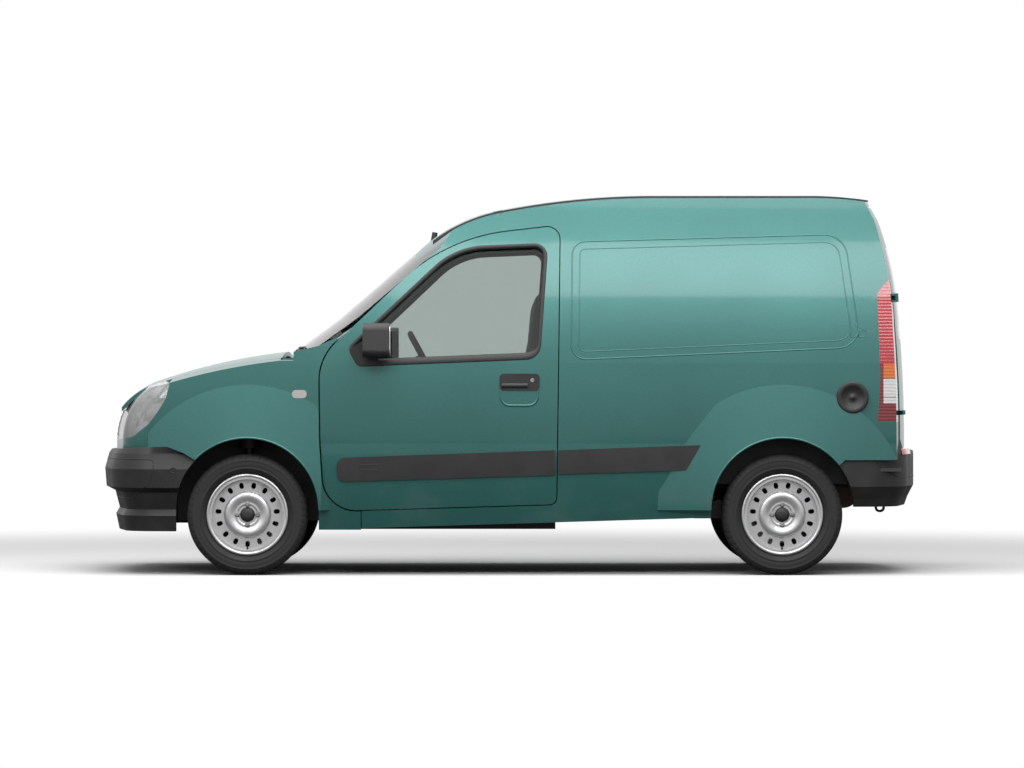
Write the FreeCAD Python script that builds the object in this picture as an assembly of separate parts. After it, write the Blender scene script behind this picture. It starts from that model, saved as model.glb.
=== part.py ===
import FreeCAD, Part
import functools
import math
import os
from FreeCAD import Vector

# A small panel van, in millimetres. X runs from nose to tail, Y to the van's right and Z up.
# The origin is on the ground, midway between the bumpers. The steering wheel is on the left, at -Y.

# Main sizes
LENGTH = 4035.0
FRONT_OVERHANG = 745.0
WHEELBASE = 2600.0
TRACK = 1406.0
SKIN_HALF = 814.0
ROOF_Z = 1870.0
ABOVE_ROOF_Z = ROOF_Z + 80.0
GAP = 5.0
NOSE_X = -LENGTH / 2
TAIL_X = LENGTH / 2
FRONT_X = NOSE_X + FRONT_OVERHANG
NOSE_REACH = 827.5
REAR_X = FRONT_X + WHEELBASE

# Wheels
TYRE_R = 294.0
TYRE_WIDTH = 165.0
TREAD_HALF = 58.0
BEAD_R = 178.0
FLANGE_R = 197.0
BEAD_RISE = 50.0
RIM_HALF = 64.0
BELL_R = 109.0
VENT_COUNT = 15
VENT_CIRCLE_R = 141.0
DISC_FACE_Y = 46.0

# Body side section: heights of its lines and half widths there
SILL_Z = 229.0
SWAGE_Z = 640.0
WAIST_Z = 1030.0
SECTION_TOP_Z = 1900.0
SILL_IN = 30.0
WAIST_IN = 14.0
TOP_IN = 198.0
UPPER_BELLY = 28.0
PLAN_R = 60000.0
WING_PLAN_R = 2600.0
WING_PLAN_X = FRONT_X + 20.0
WALL = 55.0
WING_WALL = 26.0
WING_LIP = 4.0
DOOR_DEPTH = 60.0
FRAME_DEPTH = 36.0

# Arches
ARCH_R = 348.0
ARCH_Z = 317.0
FLARE_HALF = 836.0
FLARE_WIDTH = 260.0
FLARE_FALL = 32.0

# Roof, screen and tail
ROOF_CROWN_R = 6000.0
ROOF_THICK = 25.0
SCREEN_AXIS_X = FRONT_X + 2720.0
SCREEN_THICK = 6.0
SCREEN_FOOT_Z = 1100.0
WIPER_PIVOT_R = 6.0
WIPER_YS = (-560.0, 20.0)
TAIL_PLAN_R = 3500.0
TAIL_FACE_X = TAIL_X - 50.0
REAR_DOOR_HALF = 655.0
REAR_DOOR_BOTTOM_Z = 615.0
REAR_DOOR_TOP_Z = 1795.0
REAR_SPLIT_Y = 95.0
REAR_HINGE_OUT = 16.0
REAR_HINGE_ASIDE = 22.0
REAR_HINGE_LOW_Z = 790.0
REAR_HINGE_HIGH_Z = 1350.0
REAR_HINGE_LEAN = 34.0

# Bonnet and nose
BONNET_CROWN_R = 6500.0
BONNET_THICK = 22.0
BONNET_AXIS_X = FRONT_X + 225.0
BONNET_AXIS_Z = 1047.0
BONNET_HINGE_Y = 620.0
NOSE_FACE_X = NOSE_X + 63.0
HEADLAMP_INNER = 400.0

# Front door hinges: where the upright axis stands, and the flange ahead of it
DOOR_AXIS_X = FRONT_X + 432.0
DOOR_AXIS_Y = -SKIN_HALF + 24.0
DOOR_FLANGE = 21.0
HINGE_PIN_R = 3.5
HINGE_ARM = 118.0
HINGE_ROOM = 11.0
HINGE_ROOM_HALF = 26.0
DOOR_HINGE_ZS = (520.0, 860.0)
PIN_GAP = 0.3

# Steering and running gear
KINGPIN_Y = 585.0
SPINDLE_R = 18.0
STRUT_R = 20.0
LINER_R = 362.0
LINER_IN = 435.0
RAIL_IN = 369.0
RAIL_OUT = 425.0
LINER_THICK = 6.0
STEER_WHEEL_R = 170.0
STEER_WHEEL_TILT = 28.0

# Floor
CAB_FLOOR_Z = 300.0
LOAD_FLOOR_Z = 520.0
SILL_SEAM = 0.5
FLOOR_THICK = 16.0
PANEL_HALF = 420.0
PANEL_RISE = 3.0
ANCHOR_SPACING_X = 800.0
ANCHOR_SPACING_Y = 900.0
ANCHOR_HOLE_R = 5.0
TOW_X = FRONT_X - 592.0
TOW_HOLE_R = 14.0
TOW_LUG = 14.0

parts = {}


def vec(x, y, z):
    return Vector(x, y, z)


def polygon_face(points):
    """A flat face from corner points."""
    return Part.Face(Part.makePolygon(list(points) + [points[0]]))


def rounded_wire(corners, place, closed=True):
    """A wire through (u, v, radius) corners, each rounded by a tangent arc; place turns (u, v) into a point."""
    count = len(corners)
    edges = []
    start = last = None
    for i, (u, v, r) in enumerate(corners):
        here = Vector(u, v, 0)
        if not closed and i in (0, count - 1):
            a = b = here
            mid = None
        else:
            before = Vector(*corners[i - 1][:2], 0) - here
            after = Vector(*corners[(i + 1) % count][:2], 0) - here
            before.normalize()
            after.normalize()
            half = before.getAngle(after) / 2
            if r <= 0:
                a = b = here
                mid = None
            else:
                back = r / math.tan(half)
                a = here + before * back
                b = here + after * back
                way = before + after
                way.normalize()
                mid = here + way * (r / math.sin(half) - r)
        if last is not None and last.distanceToPoint(a) > 1e-6:
            edges.append(Part.LineSegment(place(last.x, last.y), place(a.x, a.y)).toShape())
        if mid is not None:
            edges.append(Part.Arc(place(a.x, a.y), place(mid.x, mid.y), place(b.x, b.y)).toShape())
        if start is None:
            start = a
        last = b
    if closed and last.distanceToPoint(start) > 1e-6:
        edges.append(Part.LineSegment(place(last.x, last.y), place(start.x, start.y)).toShape())
    return Part.Wire(edges)


def side_place(x, z):
    return vec(x, 0, z)


def plan_place(x, y):
    return vec(x, y, 0)


def rear_place(y, z):
    return vec(0, y, z)


def grown(corners, by):
    """A counter-clockwise outline moved outwards by a distance; each round keeps its centre."""
    result = []
    count = len(corners)
    for i, (u, v, r) in enumerate(corners):
        here = Vector(u, v, 0)
        before = here - Vector(*corners[i - 1][:2], 0)
        after = Vector(*corners[(i + 1) % count][:2], 0) - here
        before.normalize()
        after.normalize()
        out_before = Vector(before.y, -before.x, 0)
        out_after = Vector(after.y, -after.x, 0)
        way = out_before + out_after
        way.normalize()
        moved = here + way * (by / way.dot(out_after))
        result.append((moved.x, moved.y, r + by if r else 0))
    return result


def side_prism(corners, y0, y1, grow=0.0):
    """A side-view outline of (x, z, radius) corners, grown if asked, drawn out from y0 to y1."""
    face = Part.Face(rounded_wire(grown(corners, grow), side_place))
    face.translate(vec(0, y0, 0))
    return face.extrude(vec(0, y1 - y0, 0))


def plan_prism(corners, z0, z1):
    face = Part.Face(rounded_wire(corners, plan_place))
    face.translate(vec(0, 0, z0))
    return face.extrude(vec(0, 0, z1 - z0))


def rear_prism(corners, x0, x1):
    face = Part.Face(rounded_wire(corners, rear_place))
    face.translate(vec(x0, 0, 0))
    return face.extrude(vec(x1 - x0, 0, 0))


def box(x0, x1, y0, y1, z0, z1):
    return Part.makeBox(x1 - x0, y1 - y0, z1 - z0, vec(x0, y0, z0))


def rod(start, end, radius):
    way = end - start
    return Part.makeCylinder(radius, way.Length, start, way)


def bar(start, end, half):
    """A square bar from one point to another."""
    way = end - start
    piece = Part.makeBox(2 * half, 2 * half, way.Length, vec(-half, -half, 0))
    piece.Placement = FreeCAD.Placement(start, FreeCAD.Rotation(vec(0, 0, 1), way))
    return piece


def mirror(shape):
    return shape.mirror(vec(0, 0, 0), vec(0, 1, 0))


def joined(pieces):
    first = pieces[0]
    return first.fuse(list(pieces[1:])).removeSplitter() if len(pieces) > 1 else first


def trimmed(shape, tools):
    """A shape with tools cut away one after another."""
    for tool in tools:
        shape = shape.cut(tool)
    return shape


def put(name, shape):
    """Keeps a node's shape, after a check that it is made of sound solids."""
    if not shape.isValid() or not shape.Solids:
        print("unsound shape:", name)
    parts[name] = shape if len(shape.Solids) > 1 else shape.Solids[0]


def put_pair(name, shape):
    put(name + "_left", shape)
    put(name + "_right", mirror(shape))


# Body side section and slabs

def skin_points():
    """The outer line of the side's section, bottom to top, as (y, z) ends of its three arcs with their middles."""
    return [
        ((-SKIN_HALF + SILL_IN, SILL_Z - 30), (-SKIN_HALF + 6, 410), (-SKIN_HALF, SWAGE_Z)),
        ((-SKIN_HALF, SWAGE_Z), (-SKIN_HALF + 2, 830), (-SKIN_HALF + WAIST_IN, WAIST_Z)),
        (
            (-SKIN_HALF + WAIST_IN, WAIST_Z),
            (-SKIN_HALF + (WAIST_IN + TOP_IN) / 2 - UPPER_BELLY, (WAIST_Z + SECTION_TOP_Z) / 2),
            (-SKIN_HALF + TOP_IN, SECTION_TOP_Z),
        ),
    ]


@functools.cache
def section_face(low, high):
    """The closed section of the side wall, low thick under the waist and high thick over it."""
    edges = []
    for a, m, b in skin_points():
        edges.append(Part.Arc(vec(0, *a), vec(0, *m), vec(0, *b)).toShape())
    top = skin_points()[2]
    inner = [
        top[2],
        (top[2][0] + high, SECTION_TOP_Z),
        (top[1][0] + high, top[1][1]),
        (top[0][0] + high, WAIST_Z - 20),
        (-SKIN_HALF + WAIST_IN + low, WAIST_Z - 20),
        (-SKIN_HALF + low, 410),
        (-SKIN_HALF + SILL_IN + low, SILL_Z - 30),
        skin_points()[0][0],
    ]
    for p, q in zip(inner, inner[1:]):
        if math.dist(p, q) > 1e-6:
            edges.append(Part.LineSegment(vec(0, *p), vec(0, *q)).toShape())
    return Part.Face(Part.Wire(edges))


@functools.cache
def side_slab(low, high, wing=False):
    """The left side wall before its outline is cut: the section swept on the body's wide plan curve."""
    axis_y = PLAN_R - SKIN_HALF
    up = vec(0, 0, 1)
    face = section_face(low, high).copy()
    face.translate(vec(WING_PLAN_X, 0, 0))
    mid_x = (FRONT_X + REAR_X) / 2
    tilt = math.degrees(math.asin((mid_x - WING_PLAN_X) / PLAN_R))
    face.translate(vec(mid_x - WING_PLAN_X, 0, 0))
    face.rotate(vec(mid_x, axis_y, 0), up, -tilt)
    reach = math.degrees((TAIL_X - WING_PLAN_X + 60) / PLAN_R)
    slab = face.revolve(vec(mid_x, axis_y, 0), up, reach)
    if not wing:
        return slab
    centre = vec(mid_x, axis_y, 0)
    seat = centre + vec(-math.sin(math.radians(tilt)), -math.cos(math.radians(tilt)), 0) * PLAN_R
    way = centre - seat
    way.normalize()
    wing_axis = seat + way * WING_PLAN_R
    nose = face.revolve(wing_axis, up, -math.degrees(620.0 / WING_PLAN_R))
    return slab.fuse(nose)


def flare(axle_x, wall):
    """The blister round an arch: a shallow cone about the wheel, that dies into the skin."""
    inner = SKIN_HALF - wall
    profile = [
        (ARCH_R - 20, -FLARE_HALF),
        (ARCH_R, -FLARE_HALF),
        (ARCH_R + FLARE_WIDTH, -FLARE_HALF + FLARE_FALL),
        (ARCH_R + FLARE_WIDTH, -inner),
        (ARCH_R - 20, -inner),
    ]
    face = polygon_face([vec(axle_x + r, y, ARCH_Z) for r, y in profile])
    ring = face.revolve(vec(axle_x, 0, ARCH_Z), vec(0, 1, 0), -180)
    return ring


def flare_foot():
    """What the front blister loses low down behind the wheel, where it falls back to the skin under the door."""
    f = FRONT_X
    corners = [(f + 356, -FLARE_HALF - 2, 0), (f + 416, -SKIN_HALF + 30, 0), (f + 700, -SKIN_HALF + 30, 0),
               (f + 700, -FLARE_HALF - 60, 0), (f + 356, -FLARE_HALF - 60, 0)]
    return plan_prism(corners, 200, 500).cut(side_slab(200, 200))


def arch_cut(axle_x, radius=ARCH_R):
    """The wheel opening: round over the wheel and straight down from its middle."""
    drum = Part.makeCylinder(radius, 500, vec(axle_x, -1000, ARCH_Z), vec(0, 1, 0))
    return drum.fuse(box(axle_x - radius, axle_x + radius, -1000, -500, 0, ARCH_Z))


def wheel_room():
    """What the left front wheel's inner arch takes up."""
    return Part.makeCylinder(LINER_R + LINER_THICK, 600, vec(FRONT_X, -LINER_IN - 600, ARCH_Z), vec(0, 1, 0))


# Outlines in the side view, from the front axle, or from the rear axle where so named

def door_outline():
    f = FRONT_X
    return [
        (f + 352, 1054, 250),
        (f + 357, 660, 600),
        (f + 379, 312, 162),
        (f + 1501, 346, 35),
        (f + 1519, 1702, 60),
        (f + 967, 1638, 900),
    ]


def window_outline():
    f = FRONT_X
    return [
        (f + 537, 1014, 40),
        (f + 1422, 1050, 75),
        (f + 1463, 1617, 62),
        (f + 1010, 1598, 380),
        (f + 487, 1105, 40),
    ]


def roof_line():
    """The roof's centre line from the screen to the tail, as arcs of (x, z)."""
    f, t = FRONT_X, TAIL_X
    return [
        ((f + 812, ROOF_Z - 287), (f + 1012, ROOF_Z - 144), (f + 1222, ROOF_Z - 73)),
        ((f + 1222, ROOF_Z - 73), (f + 1572, ROOF_Z - 21), (f + 2022, ROOF_Z)),
        ((f + 2022, ROOF_Z), None, (t - 568, ROOF_Z)),
        ((t - 568, ROOF_Z), (t - 398, ROOF_Z - 5), (t - 238, ROOF_Z - 24)),
        ((t - 238, ROOF_Z - 24), None, (t - 130, ROOF_Z - 60)),
    ]


def screen_line():
    return [(FRONT_X + 200, 1088), (FRONT_X + 424, 1254), (FRONT_X + 824, 1600), (FRONT_X + 1120, 1856)]


def tail_line():
    t = TAIL_FACE_X
    return [
        ((t + 2, 560), (t, 850), (t - 20, 1200)),
        ((t - 20, 1200), (t - 56, 1490), (t - 126, 1735)),
        ((t - 126, 1735), None, (t - 190, 1850)),
    ]


def bonnet_line():
    f = FRONT_X
    return [
        ((f - 632, 835), (f - 570, 896), (f - 480, 946)),
        ((f - 480, 946), (f - 260, 1013), (f + 165, 1091)),
    ]


def line_edges(line, dx=0.0, dz=0.0):
    edges = []
    for a, m, b in line:
        p = vec(a[0] + dx, 0, a[1] + dz)
        q = vec(b[0] + dx, 0, b[1] + dz)
        if m is None:
            edges.append(Part.LineSegment(p, q).toShape())
        else:
            edges.append(Part.Arc(p, vec(m[0] + dx, 0, m[1] + dz), q).toShape())
    return edges


def closed_line(line, rest, dx=0.0, dz=0.0):
    """A face between a line of arcs and the given rest points, in the side view."""
    edges = line_edges(line, dx, dz)
    start = vec(line[0][0][0] + dx, 0, line[0][0][1] + dz)
    end = vec(line[-1][2][0] + dx, 0, line[-1][2][1] + dz)
    points = [end] + [vec(x, 0, z) for x, z in rest] + [start]
    for p, q in zip(points, points[1:]):
        if p.distanceToPoint(q) > 1e-6:
            edges.append(Part.LineSegment(p, q).toShape())
    return Part.Face(Part.Wire(Part.__sortEdges__(edges)))


def crowned(face, radius, top_z, half_angle=11.0):
    """Turns a side-view face about a line under the van, which crowns it across."""
    centre = vec(0, 0, top_z - radius)
    face = face.copy()
    face.rotate(centre, vec(1, 0, 0), -half_angle)
    return face.revolve(centre, vec(1, 0, 0), 2 * half_angle)


def bowed(face, axis_x, half_angle=26.0):
    """Turns a side-view face about an upright line on the centre plane, which bows it in plan."""
    face = face.copy()
    face.rotate(vec(axis_x, 0, 0), vec(0, 0, 1), -half_angle)
    return face.revolve(vec(axis_x, 0, 0), vec(0, 0, 1), 2 * half_angle)


def above_roof():
    line = roof_line()
    rest = [(line[-1][2][0] + 400, line[-1][2][1]), (line[-1][2][0] + 400, 2300), (-1900, 2300), (-1900, line[0][0][1])]
    return crowned(closed_line(line, rest), ROOF_CROWN_R, ROOF_Z)


def ahead_of_screen(back=0.0):
    pts = [(x + back, z) for x, z in screen_line()]
    corners = [(pts[0][0], 1000)] + pts + [(pts[-1][0], 2300), (FRONT_X - 300, 2300), (FRONT_X - 300, 1000)]
    return bowed(polygon_face([vec(x, 0, z) for x, z in corners]), SCREEN_AXIS_X)


def behind_tail():
    line = tail_line()
    rest = [(line[-1][2][0] + 600, line[-1][2][1]), (line[-1][2][0] + 600, line[0][0][1])]
    return bowed(closed_line(line, rest), TAIL_FACE_X - TAIL_PLAN_R, 18)


def above_bonnet(grow=0.0):
    line = bonnet_line()
    rest = [(line[-1][2][0] + 60, line[-1][2][1] + grow), (line[-1][2][0] + 60, 1500), (NOSE_X - 200, 1500),
            (NOSE_X - 200, line[0][0][1] + grow)]
    return crowned(closed_line(line, rest, dz=grow), BONNET_CROWN_R, 1091, 17)


# Places on the skin

def arc_y(z, a, m, b):
    """Where a three-point arc of the side section lies at a height."""
    ax, az, bx, bz, cx, cz = a[0], a[1], m[0], m[1], b[0], b[1]
    d = 2 * (ax * (bz - cz) + bx * (cz - az) + cx * (az - bz))
    uy = ((ax**2 + az**2) * (bz - cz) + (bx**2 + bz**2) * (cz - az) + (cx**2 + cz**2) * (az - bz)) / d
    uz = ((ax**2 + az**2) * (cx - bx) + (bx**2 + bz**2) * (ax - cx) + (cx**2 + cz**2) * (bx - ax)) / d
    radius = math.dist((ax, az), (uy, uz))
    side = -1 if bx < uy else 1
    return uy + side * math.sqrt(radius**2 - (z - uz) ** 2)


def skin(x, z):
    """The left skin's Y at a place in the side view."""
    for a, m, b in skin_points():
        if z <= b[1] or b[1] == SECTION_TOP_Z:
            y = arc_y(z, a, m, b)
            break
    mid_x = (FRONT_X + REAR_X) / 2
    if x >= WING_PLAN_X:
        return y + (x - mid_x) ** 2 / (2 * PLAN_R)
    reach = WING_PLAN_X - mid_x
    ahead = WING_PLAN_X - x
    return y + reach**2 / (2 * PLAN_R) - reach / PLAN_R * ahead + ahead**2 / (2 * WING_PLAN_R)


# Hinges

def hinge(place, up, fixed_to, moving_to, height=26.0, pin_r=HINGE_PIN_R):
    """A butt hinge: a pin between two lugs on the fixed arm, and an eye on the moving arm.

    fixed_to and moving_to are corner points that each arm, a bar round the line from the pin, runs to.
    """
    turn = FreeCAD.Rotation(vec(0, 0, 1), up)
    eye_r = pin_r + 6

    def placed(shape):
        shape.Placement = FreeCAD.Placement(place, turn)
        return shape

    def bar(end, z0, z1):
        local = turn.inverted().multVec(end - place)
        length = math.hypot(local.x, local.y)
        piece = Part.makeBox(length, 2 * (eye_r - 2), z1 - z0, vec(0, -(eye_r - 2), z0))
        piece.rotate(vec(0, 0, 0), vec(0, 0, 1), math.degrees(math.atan2(local.y, local.x)))
        return piece

    half = height / 2
    lug = 10.0
    pin = Part.makeCylinder(pin_r, height + 2 * lug, vec(0, 0, -half - lug))
    fixed = pin
    for z0 in (-half - lug, half):
        fixed = fixed.fuse(Part.makeCylinder(eye_r, lug, vec(0, 0, z0))).fuse(bar(fixed_to, z0, z0 + lug))
    z1 = half - PIN_GAP
    moving = Part.makeCylinder(eye_r, 2 * z1, vec(0, 0, -z1)).fuse(bar(moving_to, -z1, z1))
    moving = moving.cut(Part.makeCylinder(pin_r + PIN_GAP, 2 * height, vec(0, 0, -height)))
    return placed(fixed), placed(moving)


def door_hinges():
    fixed, moving = [], []
    for z in DOOR_HINGE_ZS:
        place = vec(DOOR_AXIS_X, DOOR_AXIS_Y, z)
        a, b = hinge(place, vec(0, 0, 1), place + vec(0, HINGE_ARM, 0), place + vec(36, 12, 0))
        fixed.append(a)
        moving.append(b)
    return fixed, moving


def hinge_rooms():
    """The hollows behind the door's skin that its hinges' fixed lugs and arms turn in."""
    rooms = []
    for z in DOOR_HINGE_ZS:
        low, high = z - HINGE_ROOM_HALF, z + HINGE_ROOM_HALF
        rooms.append(box(DOOR_AXIS_X - 3 * HINGE_ROOM, DOOR_AXIS_X + 2 * HINGE_ROOM, DOOR_AXIS_Y - HINGE_ROOM, -600, low, high))
    return rooms


def door_swing(extra):
    """What the door's leading edge sweeps as it opens, and a clearance round it."""
    wire = rounded_wire(door_outline(), side_place)
    points = [p for p in wire.discretize(Distance=40.0) if p.x < DOOR_AXIS_X + 30 and p.z < 1120]
    points.sort(key=lambda p: p.z)
    profile = []
    for p in points:
        ahead = DOOR_AXIS_X - p.x
        out = DOOR_AXIS_Y - skin(p.x, p.z)
        profile.append((math.hypot(ahead, out) + extra, p.z))
    wide = [(r, z) for r, z in profile if r > 0]
    corners = [(0, wide[0][1] - 5)] + [(wide[0][0], wide[0][1] - 5)] + wide
    corners += [(wide[-1][0], wide[-1][1] + 5), (0, wide[-1][1] + 5)]
    face = polygon_face([vec(DOOR_AXIS_X + r, DOOR_AXIS_Y, z) for r, z in corners])
    return face.revolve(vec(DOOR_AXIS_X, DOOR_AXIS_Y, 0), vec(0, 0, 1), 360)


def door_edge_room():
    """The room behind the wing's rear lip that the door's leading edge turns through."""
    wide = side_prism(door_outline(), -1000, -400, GAP + 12)
    return wide.common(side_slab(DOOR_DEPTH, DOOR_DEPTH)).cut(side_slab(WING_LIP, WING_LIP))


# Body shell

@functools.cache
def hinge_post():
    """The upright behind the wing that carries the door's hinges, and its foot inside the door's front edge."""
    f = FRONT_X
    inboard = -SKIN_HALF + 174
    outline = [
        (f + 262, 420, 0), (f + 338, 420, 0), (f + 338, 1040, 60), (f + 452, 1150, 0), (f + 340, 1104, 0),
        (f + 262, 1076, 0),
    ]
    post = side_prism(outline, -SKIN_HALF, inboard)
    post = post.cut(side_prism(door_outline(), -1000, -400, GAP))
    foot = box(f + 338, f + 470, inboard - 44, inboard, CAB_FLOOR_Z - 16, 1000)
    step = box(f + 368, f + 640, -SKIN_HALF + 40, inboard, CAB_FLOOR_Z - 40, CAB_FLOOR_Z + 6)
    post = post.fuse([foot, step])
    return trimmed(post, [wheel_room(), side_slab(WING_WALL, WING_WALL, True), door_swing(GAP)])


def tail_lamp_outline():
    t = TAIL_X
    return [
        (t - 228, 745, 0), (t + 60, 745, 0), (t + 60, 1448, 0), (t - 161, 1448, 0), (t - 227, 1372, 60),
        (t - 214, 968, 0),
    ]


@functools.cache
def tail_corner():
    """The rear corner's skin, side and tail together, from which the lamp is cut."""
    inner = [(TAIL_FACE_X - 260, 1850), (TAIL_FACE_X - 150, 1650), (TAIL_FACE_X - 70, 1200), (TAIL_FACE_X - 50, 560)]
    post = bowed(closed_line(tail_line(), inner), TAIL_FACE_X - TAIL_PLAN_R, 18)
    keep = rear_prism([(-900, 560, 0), (-REAR_DOOR_HALF, 560, 0), (-REAR_DOOR_HALF, 1500, 0),
                       (-REAR_DOOR_HALF + 70, 1900, 0), (-900, 1900, 0)], 1500, 2100)
    return post.common(keep).common(side_slab(400, 400))


def rear_axis_point(z):
    """Where the left rear door's axis, which leans with the tail, passes a height."""
    x = TAIL_FACE_X - REAR_DOOR_HALF**2 / (2 * TAIL_PLAN_R) + REAR_HINGE_OUT
    share = (z - REAR_HINGE_LOW_Z) / (REAR_HINGE_HIGH_Z - REAR_HINGE_LOW_Z)
    return vec(x - REAR_HINGE_LEAN * share, -REAR_DOOR_HALF - REAR_HINGE_ASIDE, z)


def rear_hinges():
    fixed, moving = [], []
    up = rear_axis_point(REAR_HINGE_HIGH_Z) - rear_axis_point(REAR_HINGE_LOW_Z)
    for z in (REAR_HINGE_LOW_Z, REAR_HINGE_HIGH_Z):
        place = rear_axis_point(z)
        a, b = hinge(place, up, place + vec(-70, -8, 0), place + vec(-36, 46, 0), 22.0, 5.0)
        fixed.append(a)
        moving.append(b)
    return fixed, moving


@functools.cache
def make_body_side():
    """The left body side with its hinge post, and the tail lamp that is let into its rear corner."""
    f, r = FRONT_X, REAR_X
    slab = side_slab(WALL, WALL - 8).fuse(flare(r, WALL))
    outline = [
        (f + 557, SILL_Z, 0), (r - 380, SILL_Z + 50, 0), (r, SILL_Z + 50, 0), (r + 300, 560, 0), (TAIL_X + 100, 560, 0),
        (TAIL_X + 100, ABOVE_ROOF_Z, 0), (f + 1180, ABOVE_ROOF_Z, 0), (f + 942, 1600, 0), (f + 430, 1152, 0),
        (f + 400, 1120, 0), (f + 500, 1000, 0), (f + 500, 318, 0), (f + 557, 318, 0),
    ]
    shape = slab.common(side_prism(outline, -1000, -400))
    shape = shape.fuse(tail_corner())
    shape = trimmed(shape, [behind_tail(), above_roof(), arch_cut(r), rear_door_space()])
    shape = shape.cut(side_prism(door_outline(), -1000, -400, GAP))
    shape = shape.cut(door_swing(GAP))
    shape = biggest(shape).fuse(hinge_post())
    lamp = biggest(shape.common(tail_lamp_tool()))
    shape = biggest(shape.cut(tail_lamp_tool()))
    shape = joined([shape] + door_hinges()[0] + rear_hinges()[0])
    return biggest(shape), lamp


@functools.cache
def body_sides():
    side = make_body_side()[0]
    return [side, mirror(side)]


@functools.cache
def front_wings():
    wing = make_front_wing()
    return [wing, mirror(wing)]


def tail_lamp_tool():
    return side_prism(tail_lamp_outline(), -1000, -REAR_DOOR_HALF - 50)


def make_front_wing():
    f = FRONT_X
    slab = side_slab(WING_WALL, WING_WALL, True)
    top = crowned(slab_face(bonnet_line(), BONNET_THICK), BONNET_CROWN_R, 1091, 9)
    top = top.common(box(f - 700, f + 160, -900, -500, 700, 1200)).common(side_slab(400, 400, True))
    top = top.cut(bonnet_plan(GAP + 2))
    slab = slab.fuse(flare(f, WING_WALL).cut(flare_foot())).fuse(top)
    outline = [
        (f - 479, 624, 0), (f - 479, 735, 0), (f - 429, 806, 60), (f - 397, 858, 60), (f - 378, 935, 0),
        (f - 378, 1200, 0), (f + 160, 1200, 0), (f + 160, 1078, 0), (f + 242, 1089, 0), (f + 340, 1112, 0),
        (f + 430, 1152, 0), (f + 500, 1100, 0), (f + 500, 318, 0), (f + 552, 318, 0), (f + 552, SILL_Z - 8, 0),
        (f, SILL_Z - 8, 0), (f - 250, 560, 0), (f - 304, 593, 0), (f - 384, 624, 0),
    ]
    shape = slab.common(side_prism(outline, -1000, -400))
    shape = shape.cut(arch_cut(f))
    shape = trimmed(shape, [side_prism(door_outline(), -1000, -400, GAP + 2), door_edge_room(), above_bonnet()])
    shape = shape.cut(repeater_shape())
    return biggest(shape)


def slab_face(line, thick):
    """A side-view face under a line of arcs, one thickness deep."""
    points = [line[-1][2]]
    for a, m, b in reversed(line):
        if m is not None:
            points.append(m)
        points.append(a)
    rest = [(x, z - thick) for x, z in points]
    return closed_line(line, rest)


def bonnet_plan(grow=0.0):
    """The bonnet's outline from above, as an upright block."""
    f = FRONT_X
    corners = [
        (f - 760, -470 - grow, 0), (f + 165 + grow, -690 - grow, 30), (f + 165 + grow, 690 + grow, 30),
        (f - 760, 470 + grow, 0),
    ]
    return plan_prism(corners, 500, 1300)


@functools.cache
def make_roof():
    slab = crowned(slab_face(roof_line(), ROOF_THICK), ROOF_CROWN_R, ROOF_Z, 8)
    slab = slab.common(box(FRONT_X + 700, TAIL_X - 150, -760, 760, 1300, ABOVE_ROOF_Z))
    slab = slab.cut(ahead_of_screen())
    left = side_slab(WALL, WALL - 8)
    slab = trimmed(slab, [left, mirror(left), behind_tail(), rear_door_space()])
    return biggest(slab)


def biggest(shape):
    return max(shape.Solids, key=lambda s: s.Volume)


def make_windscreen():
    pts = [(x, z) for x, z in screen_line()[:3]]
    last = screen_line()[3]
    share = 0.42
    pts.append((pts[2][0] + share * (last[0] - pts[2][0]), pts[2][1] + share * (last[1] - pts[2][1])))
    back = [(x + SCREEN_THICK + 2, z) for x, z in reversed(pts)]
    shell = bowed(polygon_face([vec(x, 0, z) for x, z in pts + back]), SCREEN_AXIS_X)
    roof = crowned(slab_face(roof_line(), ROOF_THICK), ROOF_CROWN_R, ROOF_Z, 8)
    left = side_slab(WALL, WALL - 8)
    shell = shell.common(box(FRONT_X, FRONT_X + 1400, -800, 800, SCREEN_FOOT_Z, 1900))
    shell = trimmed(shell, [roof, above_roof(), left, mirror(left)] + body_sides() + front_wings())
    return biggest(shell)


@functools.cache
def make_scuttle():
    """The bulkhead behind the engine with its toe board, the cowl trough and the ledge under the screen."""
    f = FRONT_X
    profile = [
        (f + 168, 1022, 0), (f + 168, 560, 0), (f + 262, 440, 0), (f + 262, CAB_FLOOR_Z - 16, 0),
        (f + 276, CAB_FLOOR_Z - 16, 0), (f + 276, 446, 0), (f + 182, 566, 0), (f + 182, 1000, 0), (f + 314, 1000, 0),
        (f + 314, SCREEN_FOOT_Z, 0), (f + 300, SCREEN_FOOT_Z, 0), (f + 300, 1014, 0), (f + 182, 1014, 0), (f + 182, 1022, 0),
    ]
    ledge = box(f + 180, f + 314, -800, 800, SCREEN_FOOT_Z - 12, SCREEN_FOOT_Z).cut(ahead_of_screen())
    shape = side_prism(profile, -800, 800).fuse(ledge)
    rooms = [wheel_room(), mirror(wheel_room())]
    shape = biggest(trimmed(shape, rooms + body_sides() + front_wings() + [make_windscreen()]))
    for y in WIPER_YS:
        shape = shape.cut(Part.makeCylinder(WIPER_PIVOT_R + 3, 60, vec(wiper_line(y) - 18, y, SCREEN_FOOT_Z - 40)))
    return joined([biggest(shape)] + bonnet_hinges()[0])


def bonnet_hinges():
    fixed, moving = [], []
    for y in (-BONNET_HINGE_Y, BONNET_HINGE_Y):
        place = vec(BONNET_AXIS_X, y, BONNET_AXIS_Z)
        a, b = hinge(place, vec(0, 1, 0), place + vec(0, 0, -36), place + vec(-78, 0, 4), 18.0, 4.0)
        fixed.append(a)
        moving.append(b)
    return fixed, moving


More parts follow.
